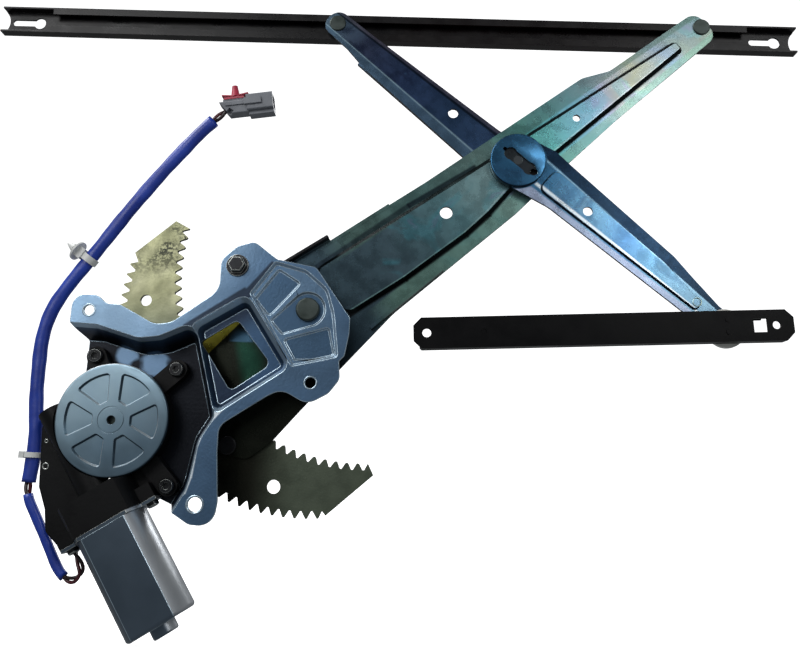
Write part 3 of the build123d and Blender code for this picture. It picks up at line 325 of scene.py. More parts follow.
# Softness of a strip's borders, in half widths of the piece, and the height in millimetres of the lift
# arm's painted crease shading
STRIP_SOFT = 0.04
CREASE_HEIGHT = 3


def add_strips(look, shade, origin, way, share, sides, where):
    """Strips along a piece. sides holds its half widths at both ends, in millimetres, and the strips.

    Each strip has its two borders in half widths, a colour and its strength.
    """
    wide_start, wide_end, strips = sides
    widening = look.math("MULTIPLY", share, (wide_end - wide_start) * MM)
    width = look.math("ADD", widening, wide_start * MM)
    place = look.math("DIVIDE", look.along(origin, Vector((-way.z, 0, way.x))), width)
    for low, high, code, most in strips:
        past_low = look.spread(place, low - STRIP_SOFT, low + STRIP_SOFT)
        before_high = look.under(place, high - STRIP_SOFT, high + STRIP_SOFT)
        shade = look.mix(look.times(past_low, before_high, where, most), shade, colour(code))
    return shade


def add_crease_shading(look, shade, crease_shading):
    """Painted shade and highlights in lines between two places on the lift arm: each with half a width, a
    colour and its strength.
    """
    for start, end, half, code, most in crease_shading:
        line = look.band(on_arm(*start, CREASE_HEIGHT), on_arm(*end, CREASE_HEIGHT), half * MM)
        shade = look.mix(look.times(line, most), shade, colour(code))
    return shade


def add_disc(look, shade):
    """Duller face and dark sunk middle of the disc at the crossing."""
    away = look.distance(DISC_MIDDLE)
    shade = look.mix(look.under(away, *DISC_TINT_TO, DISC_TINT_MOST), shade, DISC_TINT, "MULTIPLY")
    sunk = look.times(look.spread(look.depth(), *DISC_SUNK_FROM_DEPTH), look.under(away, *DISC_SUNK_TO))
    return look.mix(sunk, shade, colour(DISC_SUNK_COLOUR))


def add_glimpses(look, shade, cloud, glimpses):
    """Reflections on the front of a piece, round a spot and past a line through it.

    Each has the spot, the way from its line inwards, the line's softness, how far it reaches, a
    colour and its strength.
    """
    for spot, way_in, soft, reach, code, most in glimpses:
        cloudy = look.math("ADD", look.distance(spot), look.math("MULTIPLY", cloud, 0.008))
        past_line = look.spread(look.along(spot, way_in), 0.0, soft)
        near = look.under(cloudy, reach * 0.75, reach * 1.25)
        on_front = look.spread(look.front(), 0.0, 0.3)
        shade = look.mix(look.times(past_line, near, on_front, most), shade, colour(code))
    return shade


def plated(name, origin, way, length, stops, drift, sides, walls="0a1416", grain=0.3,
           strips_from=-0.5, has_disc=False, glimpses=(), crease_shading=()):
    """Iridescent zinc: its colours follow the piece's length and drift in clouds.

    Each drift has the noise's span, a colour and its strength. walls is the colour of painted shade on
    upright faces.
    """
    look = Look(name, 0.85)
    share = look.math("DIVIDE", look.along(origin, way), length * MM)
    cloud = look.noise(14, 4.0, 0.5, distortion=0.8)
    waved = look.math("ADD", share, look.swing(cloud, 0.2))
    shade = look.ramp(waved, [(at, colour(code)) for at, code in stops])
    veil = look.noise(23, 3.0, 0.5, distortion=1.6)
    past_root = look.spread(share, strips_from, strips_from + 0.08)
    for low, high, code, most in drift:
        drifted = look.times(look.spread(veil, low, high, 0.0, most), past_root)
        shade = look.mix(drifted, shade, colour(code))
    strips_where = look.spread(look.distance(DISC_MIDDLE), *DISC_STRIPS_FROM) if has_disc else past_root
    shade = add_strips(look, shade, origin, way, share, sides, strips_where)
    speck = look.noise(500, 3.0, 0.7)
    shade = look.mix(look.spread(speck, 0.5, 0.75, 0.0, grain), shade, colour("d5e6ea"), "SOFT_LIGHT")
    shade = add_crease_shading(look, shade, crease_shading)
    if has_disc:
        shade = add_disc(look, shade)
    shade = add_glimpses(look, shade, cloud, glimpses)
    # Painted shade on upright faces
    shade = look.mix(look.under(look.facing(), 0.72, 0.9), shade, colour(walls))
    return look.finish(shade, (0.2, 0.34), rough_scale=90, bump=0.03, bump_scale=250)


# Bracket: depths behind the front of its lugs, in metres, that its colours and painted shade follow
DEPTH_TO_RAMP = 50.0
PAINTED_SHADE_FRONT = 0.0022
PAN_BACK = 0.0046
WALL_BACK = 0.0095
BAY_BACK = 0.0150
RIM_DEPTH = (0.0021, 0.0026)
LIP_DEPTH = (0.006, 0.007)
SLOPE_DEPTH = (0.0048, 0.0058)
SILL_FROM_DEPTH = (0.007, 0.009)
SILL_TO_DEPTH = (0.0125, 0.0135)
SILL_REACH = (0.016, 0.034)
FLANGE_PAINTED_SHADE = (0.36, 0.43, 0.5, 1.0)
# Light patches of its bay, where the painted shade gives way: the spot, and how far each reaches in metres
BAY_PATCHES = ((row(-129.9, -31.8, 8), 0.0085), (row(-109.4, -39.2, 8), 0.0105))
# Shaded bands and lit lips of its flange: start, end, half a width in millimetres, a lip's strength
FLANGE_HEIGHT = 28
SHADE_BANDS = (
    ((-81.9, -17.5), (-42.4, 9.9), 5.2),
    ((-42.4, 9.9), (-25.3, 31.0), 3.4),
)
LIP_SOFT = 0.0011
LIT_LIPS = (
    ((-17.4, -45.1), (-34.7, -56.2), 1.4, 0.5),
    ((-34.7, -56.2), (-51.8, -69.0), 1.6, 0.6),
    ((-51.8, -69.0), (-58.4, -76.3), 2.1, 0.9),
    ((-58.4, -76.3), (-65.4, -86.2), 2.1, 0.9),
    ((-65.4, -86.2), (-68.7, -96.6), 2.1, 0.95),
    ((-68.7, -96.6), (-70.7, -116.9), 2.0, 0.9),
    ((-70.7, -116.9), (-73.7, -127.1), 1.8, 0.85),
    ((-73.7, -127.1), (-84.0, -136.0), 1.6, 0.8),
)
WINDOW_SILL = row(-27.0, -30.0, 19)


def bracket_look():
    """Silver-blue paint: light on the flange and lugs, with painted shade over the pan and bay and painted
    highlights on lips and slopes.
    """
    look = Look("bracket_paint", 0.7)
    depth = look.depth()
    cloud = look.noise(11, 5.0, 0.55)
    wavy = look.math("ADD", depth, look.swing(cloud, 0.0006))
    front = PAINTED_SHADE_FRONT * DEPTH_TO_RAMP
    # Painted shade: the colour darkens with depth over the pan, its walls and the bay
    shade = look.ramp(look.math("MULTIPLY", wavy, DEPTH_TO_RAMP), (
        (front, colour("7f9ab3")),
        (front + 0.02, colour("4a6681")),
        (PAN_BACK * DEPTH_TO_RAMP, colour("3d5770")),
        (WALL_BACK * DEPTH_TO_RAMP, colour("27374d")),
        (BAY_BACK * DEPTH_TO_RAMP, colour("141a26")),
        (0.95, colour("0c1018"))))
    wobble = look.swing(look.noise(70, 2.0), 0.012)
    for spot, reach in BAY_PATCHES:
        near = look.math("ADD", look.distance(spot), wobble)
        shade = look.mix(look.under(near, reach * 0.6, reach, 0.85), shade, colour("7794b2"))
    # Painted shade darkens the flange towards its lower right
    rim = look.under(depth, *RIM_DEPTH)
    shade = look.painted_dimming(shade, row(0, 0, 30), row_way(-0.8, 0.6), 35, 100, FLANGE_PAINTED_SHADE, rim)
    for start, end, half in SHADE_BANDS:
        band = look.band(row(*start, FLANGE_HEIGHT), row(*end, FLANGE_HEIGHT), half * MM)
        shade = look.mix(look.times(band, rim), shade, colour("232f3f"))
    for start, end, half, most in LIT_LIPS:
        lip = look.band(row(*start, FLANGE_HEIGHT), row(*end, FLANGE_HEIGHT), half * MM, LIP_SOFT)
        shade = look.mix(look.times(lip, most, look.under(depth, *LIP_DEPTH)), shade, colour("f0f8ff"))
    sill = look.times(
        look.under(look.distance(WINDOW_SILL), *SILL_REACH, 0.85),
        look.under(depth, *SILL_TO_DEPTH), look.spread(depth, *SILL_FROM_DEPTH))
    shade = look.mix(sill, shade, colour("3f5c7c"))
    # Painted highlight on shallow slopes near the front
    slope_highlight = look.times(look.under(look.facing(), 0.8, 0.97), look.under(depth, *SLOPE_DEPTH), 0.8)
    shade = look.mix(slope_highlight, shade, colour("b9d0e2"))
    shade = look.mix(look.spread(cloud, 0.35, 0.7, 0.0, 0.25), shade, colour("aac4dc"), "SOFT_LIGHT")
    return look.finish(shade, (0.3, 0.46), rough_scale=40, bump=0.22, bump_scale=500)


COVER_MIDDLE = row(-129.2, -81.1, 26)
COVER_PAINTED_SHADE = (0.42, 0.45, 0.48, 1.0)


def cover_look():
    """Satin blue-grey zinc of the pressed lid, with painted shade towards its lower right and on pocket
    walls that lean away from the upper left, and painted highlights on those that lean to it.
    """
    look = Look("cover_metal", 0.8)
    shade = look.drift("7b95a6", "97aeba", 14, 4.0)
    # Painted shade towards the lid's lower right
    shade = look.painted_dimming(shade, COVER_MIDDLE, row_way(-0.6, 0.8), -34, 24, COVER_PAINTED_SHADE)
    # Pocket walls get painted shade and painted highlights by the way they lean
    walls = look.under(look.facing(), 0.85, 0.97)
    lit = look.painted_relief_light(shade, "22303a", "f0f7fa", 0.85)
    return look.finish(look.mix(walls, shade, lit), (0.28, 0.38), rough_scale=50)


def can_look():
    """Drawn motor can: slate on its flat front, with a light grey painted highlight on the round side away
    from the lead.
    """
    look = Look("can_paint", 0.85)
    shade = look.drift("46535f", "5f6d7b", 8, 4.0)
    # Painted highlight on the round side that leans to the upper right
    side = look.spread(look.tilt(row_way(0.839, 0.545)), 0.3, 0.75, 0.0, 0.85)
    shade = look.mix(side, shade, colour("c3c7cb"))
    return look.finish(shade, (0.28, 0.36), rough_scale=50)


def sector_look():
    """Yellow zinc with dark grease near its top, darker olive lower down, painted shade near black at its
    root under the bracket, and painted shade on upright faces.
    """
    look = Look("zinc_yellow", 0.75)
    cloud = look.noise(16, 5.0, 0.6, distortion=0.6)
    shade = look.ramp(cloud, (
        (0.3, colour("7d8064")), (0.45, colour("8b8c6c")),
        (0.6, colour("97977a")), (0.75, colour("80897a"))))
    height = look.along(row(0, 0, 0), row_way(0, 1))
    clouds = look.spread(look.noise(30, 4.0), 0.45, 0.6)
    grains = look.spread(look.noise(520, 3.0, 0.7), 0.42, 0.55)
    smear = look.times(clouds, grains, look.spread(height, 0.02, 0.05))
    shade = look.mix(smear, shade, colour("2c2f27"))
    shade = look.mix(look.under(height, -0.03, 0.02), shade, colour("5d6657"))
    # Painted shade, near black, at the root under the bracket
    root = look.along(row(-40, 0, 0), row_way(1, 0))
    painted_root_shade = look.times(look.under(height, -0.05, -0.02), look.under(root, 0.0, 0.04))
    shade = look.mix(painted_root_shade, shade, colour("17180f"))
    # Painted shade on upright faces
    shade = look.mix(look.under(look.facing(), 0.6, 0.85, 0.8), shade, colour("3d3d2c"))
    return look.finish(shade, (0.3, 0.5), rough_scale=70, bump=0.2, bump_scale=600)


def rail_look():
    """Gloss black enamel with a brown tinge in clouds, strongest on its upright faces."""
    look = Look("rail_black", 0.0, Specular_IOR_Level=0.3)
    shade = look.drift("030304", "0a0a0d", 20, 5.0)
    clouds = look.spread(look.noise(9, 3.0), 0.4, 0.62, 0.1, 0.8)
    brown = look.times(clouds, look.spread(look.facing(), 0.5, 0.9, 1.0, 0.25))
    shade = look.mix(brown, shade, colour("1f100f"))
    return look.finish(shade, (0.24, 0.4), rough_scale=60, bump=0.06, bump_scale=500)


def edge_look(name, code, metallic=0.9):
    """Bright rounded edge of a painted or plated piece: a painted highlight, brighter and duller in
    patches.
    """
    look = Look(name, metallic)
    bright = colour(code)
    dull = tuple(part * 0.6 for part in bright[:3]) + (1.0,)
    shade = look.ramp(look.noise(45, 4.0), ((0.35, dull), (0.6, bright)))
    return look.finish(shade, (0.2, 0.3), rough_scale=120)


# Arms: colours along each one, strips beside its middle line, and the lift arm's painted crease shading
# and painted reflections
# The first stops, near black, are painted shade where the lift arm runs under the bracket
LIFT_STOPS = (
    (0.0, "1a1d16"), (0.10, "181d1a"), (0.17, "34454f"), (0.30, "4c626c"), (0.42, "6b959c"),
    (0.50, "93b4b6"), (0.56, "8fb8bc"), (0.63, "6cc4bc"), (0.70, "80b4c8"), (0.78, "9fa7bc"),
    (0.84, "a6ab98"), (0.9, "8fa2b4"), (0.95, "8f9f98"), (1.0, "93a08c"))
WINDOW_GLIMPSES = (
    (row(-53.8, -37.4, 2.5), row_way(0.97, 0.24), 0.009, 0.024, "1f4a3b", 0.8),
    (row(-49.0, -21.0, 2.5), row_way(0, 1), 0.0015, 0.0125, "3f6079", 0.9),
    (row(-62.0, -17.7, 2.5), row_way(-0.739, 0.674), 0.0006, 0.024, "9a9034", 0.95))
# Painted shade along the lift arm's grooves and panel edges, and painted highlights on its panel's lower
# edge
LIFT_CREASE_SHADING = (
    ((25, 28), (107, 24), 3.0, "18222f", 0.7),
    ((107, 24), (165, 17.5), 3.0, "18222f", 0.85),
    ((15, -15.2), (71, -19.8), 2.5, "090b0d", 0.95),
    ((71, -19.8), (127, -20.6), 2.5, "090b0d", 0.95),
    ((127, -20.6), (150, -18.6), 2.5, "090b0d", 0.95),
    ((150, -18.6), (170, -14.4), 2.3, "090b0d", 0.9),
    ((15, -12.6), (71, -17.3), 0.8, "b4ece4", 0.9),
    ((71, -17.3), (127, -17.8), 0.8, "b4ece4", 0.9),
    ((127, -17.8), (150, -15.4), 0.8, "d8f4f0", 0.9),
    ((150, -15.4), (170, -11.2), 0.8, "e4f6f4", 0.85),
    ((214, 12.6), (345, 3.9), 1.9, "10161a", 0.9),
    ((214, -12.2), (345, -6.3), 1.9, "17121a", 0.9),
    ((212, -9.4), (335, -4.4), 0.8, "f4fafc", 0.85))
LIFT_STRIPS = (
    (0.66, 1.6, "587568", 0.6), (-1.6, -0.66, "7fa896", 0.6))
FRONT_STOPS = (
    (0.0, "376a90"), (0.12, "41749a"), (0.35, "78aacb"), (0.5, "5f8fbe"), (0.65, "6f9fbe"),
    (0.85, "8ab0c8"), (1.0, "8fb4cc"))
# Front arm: a thin painted highlight, painted shade on the upper flange, a painted highlight line below
# the panel, and painted light on the lower flange
FRONT_STRIPS = (
    (0.66, 0.74, "9cc4dc", 0.8), (0.74, 1.9, "12263c", 0.95), (-0.28, -0.16, "f2fbff", 0.85),
    (-1.9, -0.42, "aeb9d4", 0.85))
REAR_STOPS = (
    (0.0, "4a6690"), (0.3, "2c4362"), (0.55, "33466a"), (0.8, "343d55"), (1.0, "6a8598"))
# Rear arm: a thin painted highlight and a thin line of painted shade at the panel's edges, between its
# side strips
REAR_STRIPS = (
    (0.50, 0.56, "a8c8d8", 0.8), (0.56, 1.6, "5d7a92", 0.7), (-0.62, -0.5, "0c1624", 0.9),
    (-1.6, -0.62, "5a5560", 0.7))


# Where the arms' colours start, and over how many millimetres they run
ARM_ROOT = on_arm(-60, 0, 0)
ARM_CROSSING = on_arm(PIVOT_TO_CENTRE, 0, 0)
LIFT_LENGTH = 441
ASSIST_LENGTH = 200


def make_zinc():
    """Plating of the lift arm and of both halves of the assist arm."""
    lift_way = row_way(cos(ARM_ANGLE), sin(ARM_ANGLE))
    front_way = row_way(cos(ARM_ANGLE), -sin(ARM_ANGLE))
    lift_drift = ((0.52, 0.62, "4fa8b8", 0.3), (0.62, 0.74, "9a86b8", 0.4))
    front_drift = ((0.5, 0.62, "34597f", 0.4), (0.62, 0.75, "a9cad6", 0.4))
    rear_drift = ((0.5, 0.62, "1a2440", 0.6), (0.62, 0.75, "4d7ca6", 0.4))
    return {
        "zinc_iridescent": plated(
            "zinc_iridescent", ARM_ROOT, lift_way, LIFT_LENGTH, LIFT_STOPS, lift_drift,
            (38, 13, LIFT_STRIPS), strips_from=0.2, glimpses=WINDOW_GLIMPSES, crease_shading=LIFT_CREASE_SHADING),
        "zinc_blue": plated(
            "zinc_blue", ARM_CROSSING, front_way, ASSIST_LENGTH, FRONT_STOPS, front_drift,
            (22, 9, FRONT_STRIPS), walls="142436", grain=0.8, has_disc=True),
        "zinc_navy": plated(
            "zinc_navy", ARM_CROSSING, -front_way, ASSIST_LENGTH, REAR_STOPS, rear_drift,
            (22, 12, REAR_STRIPS), walls="0c1420"),
    }


# Finishes that drift between two shades: name, dark and light shade, noise scale, metallic, settings
MOTTLED = (
    ("bolt_black", "0f1012", "232529", 90, 0.6, {"rough": (0.25, 0.45)}),
    ("rivet_steel", "353d3a", "505856", 60, 0.85, {"rough": (0.3, 0.5), "bump": 0.15}),
    ("case_plastic", "010102", "07080a", 30, 0.0, {
        "rough": (0.4, 0.6), "bump": 0.15, "bump_scale": 500, "fixed": {"Specular_IOR_Level": 0.2}}),
    ("rail_satin", "020203", "060608", 20, 0.0, {
        "rough": (0.3, 0.45), "fixed": {"Specular_IOR_Level": 0.14}}),
    ("disc_recess", "2a2f33", "3c4246", 90, 0.5, {"rough": (0.4, 0.6), "bump": 0.2}),
    ("bush_bronze", "8a6a3c", "b08a52", 80, 0.9, {"bump": 0.2}),
    ("magnet_dark", "2a2a2c", "3a3a3d", 80, 0.1, {"rough": (0.5, 0.7), "bump": 0.2}),
    ("card_brown", "4a3320", "6b4c30", 50, 0.0, {"rough": (0.5, 0.7), "bump": 0.2}),
    ("rubber_black", "0c0c0d", "18181a", 60, 0.0, {"rough": (0.55, 0.75), "bump": 0.2}),
    ("wire_cover", "1a0d12", "6a1626", 160, 0.0, {"rough": (0.3, 0.45)}),
    ("wire_black", "1a0c0f", "2c1418", 160, 0.0, {"rough": (0.3, 0.45)}),
    ("sleeve_blue", "102a86", "2146b4", 34, 0.0, {
        "rough": (0.3, 0.48), "bump": 0.3, "bump_scale": 260}),
    ("nylon_clear", "d0d2d0", "e8e9e6", 60, 0.0, {"rough": (0.35, 0.5)}),
    ("plug_grey", "5c6067", "787c83", 40, 0.0, {
        "rough": (0.42, 0.58), "bump": 0.2, "bump_scale": 1500}),
    ("pin_tin", "a9a9a4", "cfcfca", 90, 1.0, {"rough": (0.2, 0.35)}),
    ("clip_red", "96203a", "bb2f4a", 60, 0.0, {"rough": (0.3, 0.45)}),
    ("core_steel", "55565a", "7b7c80", 70, 0.9, {}),
    ("commutator_copper", "8f4d2c", "c07850", 70, 1.0, {"rough": (0.25, 0.4)}),
    ("wheel_plastic", "c9c4b2", "dcd8c8", 50, 0.0, {"rough": (0.4, 0.55)}),
    ("roller_plastic", "d6d6cf", "ecece6", 50, 0.0, {"rough": (0.35, 0.5)}),
)


def make_finishes():
    looks = {"bracket_paint": bracket_look(), "zinc_yellow": sector_look()}
    for name, dark, light, scale, metallic, settings in MOTTLED:
        looks[name] = mottled(name, dark, light, scale, metallic, **settings)
    looks["rail_black"] = rail_look()
    looks["cover_metal"] = cover_look()
    looks["can_paint"] = can_look()
    looks.update(make_zinc())
    looks["edge_blue"] = edge_look("edge_blue", "c6dceb")
    looks["edge_zinc"] = edge_look("edge_zinc", "d8f4ee")
    looks["edge_steel"] = edge_look("edge_steel", "b8bcb8", 1.0)
    return looks


# Pieces
WELD = 2e-6
FLAT_ANGLE = radians(0.8)
SHARP_ANGLE = radians(32)


def link(name, data):
    """An object of the scene that shows a mesh, a curve or a light."""
    piece = bpy.data.objects.new(name, data)
    bpy.context.scene.collection.objects.link(piece)
    return piece


def make_piece(name, form, *materials):
    """A linked piece with the form's shape and the materials. The form is freed."""
    mesh = bpy.data.meshes.new(name)
    form.to_mesh(mesh)
    form.free()
    for material in materials:
        mesh.materials.append(material)
    return link(name, mesh)


def round_edges(piece, width_mm, segments):
    """Rounds a piece's sharp edges, and gives the modifier that does it."""
    bevel = piece.modifiers.new("rounding", "BEVEL")
    bevel.width = width_mm * MM
    bevel.segments = segments
    return bevel


def soften(mesh):
    """Smooth faces, with an edge wherever two of them meet sharply."""
    form = bmesh.new()
    form.from_mesh(mesh)
    for face in form.faces:
        face.smooth = True
    for edge in form.edges:
        edge.smooth = len(edge.link_faces) == 2 and edge.calc_face_angle(0) < SHARP_ANGLE
    form.to_mesh(mesh)
    form.free()


TOOTH_ROUNDING = 0.8
TOOTH_CORNER = radians(25)
TOOTH_UPRIGHT = 0.99
INNER_TEETH_REACH = 118.0


def round_teeth(form):
    """Rounds the corners of the inner row of teeth, seen from the front."""
    upright = [
        edge for edge in form.edges
        if abs((edge.verts[1].co - edge.verts[0].co).normalized().y) > TOOTH_UPRIGHT
        and len(edge.link_faces) == 2 and edge.calc_face_angle(0) > TOOTH_CORNER
        and Vector(arm_place(edge.verts[0].co)[:2]).length < INNER_TEETH_REACH
    ]
    bmesh.ops.bevel(
        form, geom=upright, offset=TOOTH_ROUNDING * MM, segments=3, affect="EDGES", clamp_overlap=True)


# Upper upturned edge of the lift arm, in millimetres along and across it
FLANGE_SPAN = (20, 110)
FLANGE_SIDE = 30
SHEET_TOP = 2.7
ARM_FLANGE = ((-12.0, 36.0), (-12.0, 47.2), (45.0, 41.8), (45.0, 34.0))
ARM_FLANGE_BOTTOM = 0.3
ARM_FLANGE_TOP = 8.0
ARM_FLANGE_SHEET = 2.4
ARM_FLANGE_ROUNDING = 0.5
# Faces of the tongue that are black as painted shade
SHADED_WALLS = (1, 2, 3)


def sink_upper_flange(form):
    """Lowers the arm's upper upturned edge, which add_arm_flange() shapes closer to the bracket."""
    for vertex in form.verts:
        along, across, height = arm_place(vertex.co)
        if FLANGE_SPAN[0] < along < FLANGE_SPAN[1] and across > FLANGE_SIDE and height > SHEET_TOP:
            vertex.co.y = (LUG_PLANE - SHEET_TOP) * MM


def flange_section(form, inner, outer):
    """Corners of the tongue at one of its ends: a flat sheet with an upright wall at its side."""
    wall = outer[1] - ARM_FLANGE_SHEET
    corners = (
        (inner[1], ARM_FLANGE_BOTTOM), (outer[1], ARM_FLANGE_BOTTOM), (outer[1], ARM_FLANGE_TOP),
        (wall, ARM_FLANGE_TOP), (wall, ARM_FLANGE_SHEET), (inner[1], ARM_FLANGE_SHEET))
    return [form.verts.new(on_arm(inner[0], across, height)) for across, height in corners]


def add_arm_flange(sheet, dark):
    """Upturned upper edge of the lift arm next to the bracket: a tongue of sheet whose wall is black as
    painted shade.
    """
    form = bmesh.new()
    start_in, start_out, end_out, end_in = ARM_FLANGE
    start = flange_section(form, start_in, start_out)
    end = flange_section(form, end_in, end_out)
    for index in range(len(start)):
        after = (index + 1) % len(start)
        face = form.faces.new((start[index], start[after], end[after], end[index]))
        face.material_index = 1 if index in SHADED_WALLS else 0
    form.faces.new(start[::-1]).material_index = 1
    form.faces.new(end).material_index = 1
    bmesh.ops.recalc_face_normals(form, faces=form.faces)
    piece = make_piece("arm_flange", form, sheet, dark)
    round_edges(piece, ARM_FLANGE_ROUNDING, 2)
    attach(piece, "lift_arm")


# Lower edge of the lift arm's raised panel, in millimetres: how far it bows out at places along the
# arm, where the faces are cut so that they can bend, and between which sides of the arm it lies
PANEL_BOW = ((15, 0.0), (33, 1.4), (71, 4.8), (127, 6.0), (150, 4.0), (172, 0.0))
PANEL_CUTS = (33, 52, 71, 99, 127, 139, 150, 161)
PANEL_EDGE = (-18.5, -9.5)


def bow_at(along):
    """How far the panel's edge bows out at a place along the arm."""
    for (low, bow_low), (high, bow_high) in zip(PANEL_BOW, PANEL_BOW[1:]):
        if low <= along < high:
            return bow_low + (bow_high - bow_low) * (along - low) / (high - low)
    return 0.0


def bow_panel_edge(form):
    """Bows the lower edge of the arm's raised panel outwards."""
    way = row_way(cos(ARM_ANGLE), sin(ARM_ANGLE))
    down = row_way(sin(ARM_ANGLE), -cos(ARM_ANGLE))
    for along in PANEL_CUTS:
        everything = form.verts[:] + form.edges[:] + form.faces[:]
        bmesh.ops.bisect_plane(form, geom=everything, plane_co=on_arm(along, 0, 0), plane_no=way)
    for vertex in form.verts:
        along, across = arm_place(vertex.co)[:2]
        if PANEL_EDGE[0] < across < PANEL_EDGE[1]:
            vertex.co += down * bow_at(along) * MM


def dress(node, material, round_mm, edge=None):
    """A copy of a CAD node with flat faces merged and its edges rounded, in the node's place."""
    mesh = bpy.data.meshes.new(node + "_dressed")
    form = bmesh.new()
    form.from_mesh(NODES[node].data)
    bmesh.ops.remove_doubles(form, verts=form.verts, dist=WELD)
    bmesh.ops.dissolve_limit(form, angle_limit=FLAT_ANGLE, verts=form.verts, edges=form.edges)
    if node == "sector_gear":
        round_teeth(form)
    if node == "lift_arm":
        sink_upper_flange(form)
        bow_panel_edge(form)
    form.to_mesh(mesh)
    form.free()
    soften(mesh)
    piece = link(node + "_dressed", mesh)
    bevel = round_edges(piece, round_mm, 2)
    bevel.limit_method = "ANGLE"
    bevel.angle_limit = SHARP_ANGLE
    bevel.harden_normals = True
    bevel.use_clamp_overlap = node != "bracket"
    bevel.material = 1 if edge else -1
    mesh.materials.clear()
    mesh.materials.append(material)
    if edge:
        mesh.materials.append(edge)
    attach(piece, BODY_OF[node])
    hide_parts(node)
    return piece


def paint(node, material):
    """Gives a CAD node that already looks right its material."""
    mesh = NODES[node].data
    mesh.materials.clear()
    mesh.materials.append(material)


# Motor lead, from the motor's outlet to the plug, in the frame's plan and in metres
LEAD_ROUTE = (
    (-0.1546, -0.1644), (-0.1475, -0.175), (-0.144, -0.184), (-0.151, -0.190), (-0.160, -0.184),
    (-0.169, -0.168), (-0.181, -0.147), (-0.1895, -0.133), (-0.188, -0.113), (-0.188, -0.091),
    (-0.1915, -0.066), (-0.1925, -0.044), (-0.193, -0.024), (-0.189, -0.003), (-0.178, 0.017),
    (-0.161, 0.042), (-0.142, 0.072), (-0.121, 0.102), (-0.101, 0.128), (-0.087, 0.145),
    (-0.075, 0.156),
)
LEAD_DEPTH = 7.5
BEHIND = Vector((0, 1, 0))
# Wires, bare where they leave the motor, between the sleeves and at the plug, in metres of the lead
WIRE_RADIUS = 0.00125
WIRE_SPREAD = 0.0014
WIRE_TWIST = 0.030
WIRE_STEP = 0.0012
WIRE_SIDES = 12
WIRES_END = 0.040
BARE_WIRES = (0.094, 0.110)
LAST_WIRES = 0.408
# Sleeves: start and end on the lead, half a width and half a depth
LOWER_SLEEVE = (0.0355, 0.098, 0.0034, 0.0030)
UPPER_SLEEVE = (0.106, 0.413, 0.0049, 0.0037)
SLEEVE_STEP = 0.0025
SLEEVE_MOUTH = 0.0008
SLEEVE_MOUTH_SHARE = 0.8
# Creases of a sleeve, as waves: depth as a share of its width, and radians per metre of the lead
CREASES = ((0.035, 170), (0.02, 431))


def lead_line():
    """Points along the lead's smooth line, with the distance run at each."""
    curve = bpy.data.curves.new("lead_line", "CURVE")
    curve.dimensions = "3D"
    curve.resolution_u = 14
    spline = curve.splines.new("NURBS")
    spline.points.add(len(LEAD_ROUTE) - 1)
    for point, (x, y) in zip(spline.points, LEAD_ROUTE):
        point.co = (*row(x / MM, y / MM, LEAD_DEPTH), 1.0)
    spline.order_u = 3
    spline.use_endpoint_u = True
    holder = link("lead_line", curve)
    bpy.context.view_layer.update()
    mesh = bpy.data.meshes.new_from_object(holder.evaluated_get(bpy.context.evaluated_depsgraph_get()))
    points = [vertex.co.copy() for vertex in mesh.vertices]
    bpy.data.objects.remove(holder)
    bpy.data.meshes.remove(mesh)
    run = [0.0]
    for a, b in zip(points, points[1:]):
        run.append(run[-1] + (b - a).length)
    return points, run


def point_at(points, run, distance):
    """Place and direction on the line at a distance from its start."""
    for index in range(1, len(points)):
        if run[index] >= distance or index == len(points) - 1:
            a, b = points[index - 1], points[index]
            share = (distance - run[index - 1]) / (run[index] - run[index - 1])
            return a.lerp(b, min(max(share, 0.0), 1.0)), (b - a).normalized()


def sweep(form, rings, material_index, sides=20):
    """Closed tube through rings of (centre, direction, half width, half depth)."""
    loops = []
    for centre, ahead, wide, deep in rings:
        side = ahead.cross(BEHIND).normalized()
        loop = []
        for step in range(sides):
            turn = 2 * pi * step / sides
            loop.append(form.verts.new(centre + side * cos(turn) * wide + BEHIND * sin(turn) * deep))
        loops.append(loop)
    for low, high in zip(loops, loops[1:]):
        for step in range(sides):
            face = form.faces.new((
                low[step], low[(step + 1) % sides], high[(step + 1) % sides], high[step]))
            face.material_index = material_index
            face.smooth = True
    for loop in (loops[0][::-1], loops[-1]):
        form.faces.new(loop).material_index = material_index


def stations(start, end, step_length):
    """Distances from start to end, spaced evenly at about a step's length."""
    count = int((end - start) / step_length)
    return [start + (end - start) * step / count for step in range(count + 1)]


def mouth(ring, inwards):
    """Narrower ring just inside an end of a sleeve, which rounds the end off."""
    centre, ahead, wide, deep = ring
    place = centre + ahead * inwards * SLEEVE_MOUTH
    return place, ahead, wide * SLEEVE_MOUTH_SHARE, deep * SLEEVE_MOUTH_SHARE


def sleeve_rings(points, run, start, end, wide, deep):
    """Rings of a creased sleeve, turned in at both ends."""
    rings = []
    for distance in stations(start, end, SLEEVE_STEP):
        centre, ahead = point_at(points, run, distance)
        crease = 1 + sum(depth * sin(distance * pace) for depth, pace in CREASES)
        rings.append((centre, ahead, wide * crease, deep * (2 - crease)))
    return [mouth(rings[0], 1), *rings, mouth(rings[-1], -1)]


def wire_rings(points, run, start, end, strand):
    """Rings of one of the two wires, which twist round each other."""
    rings = []
    for distance in stations(start, end, WIRE_STEP):
        centre, ahead = point_at(points, run, distance)
        turn = 2 * pi * distance / WIRE_TWIST + strand * pi
        side = ahead.cross(BEHIND).normalized()
        away = side * cos(turn) + BEHIND * sin(turn)
        rings.append((centre + away * WIRE_SPREAD, ahead, WIRE_RADIUS, WIRE_RADIUS))
    return rings


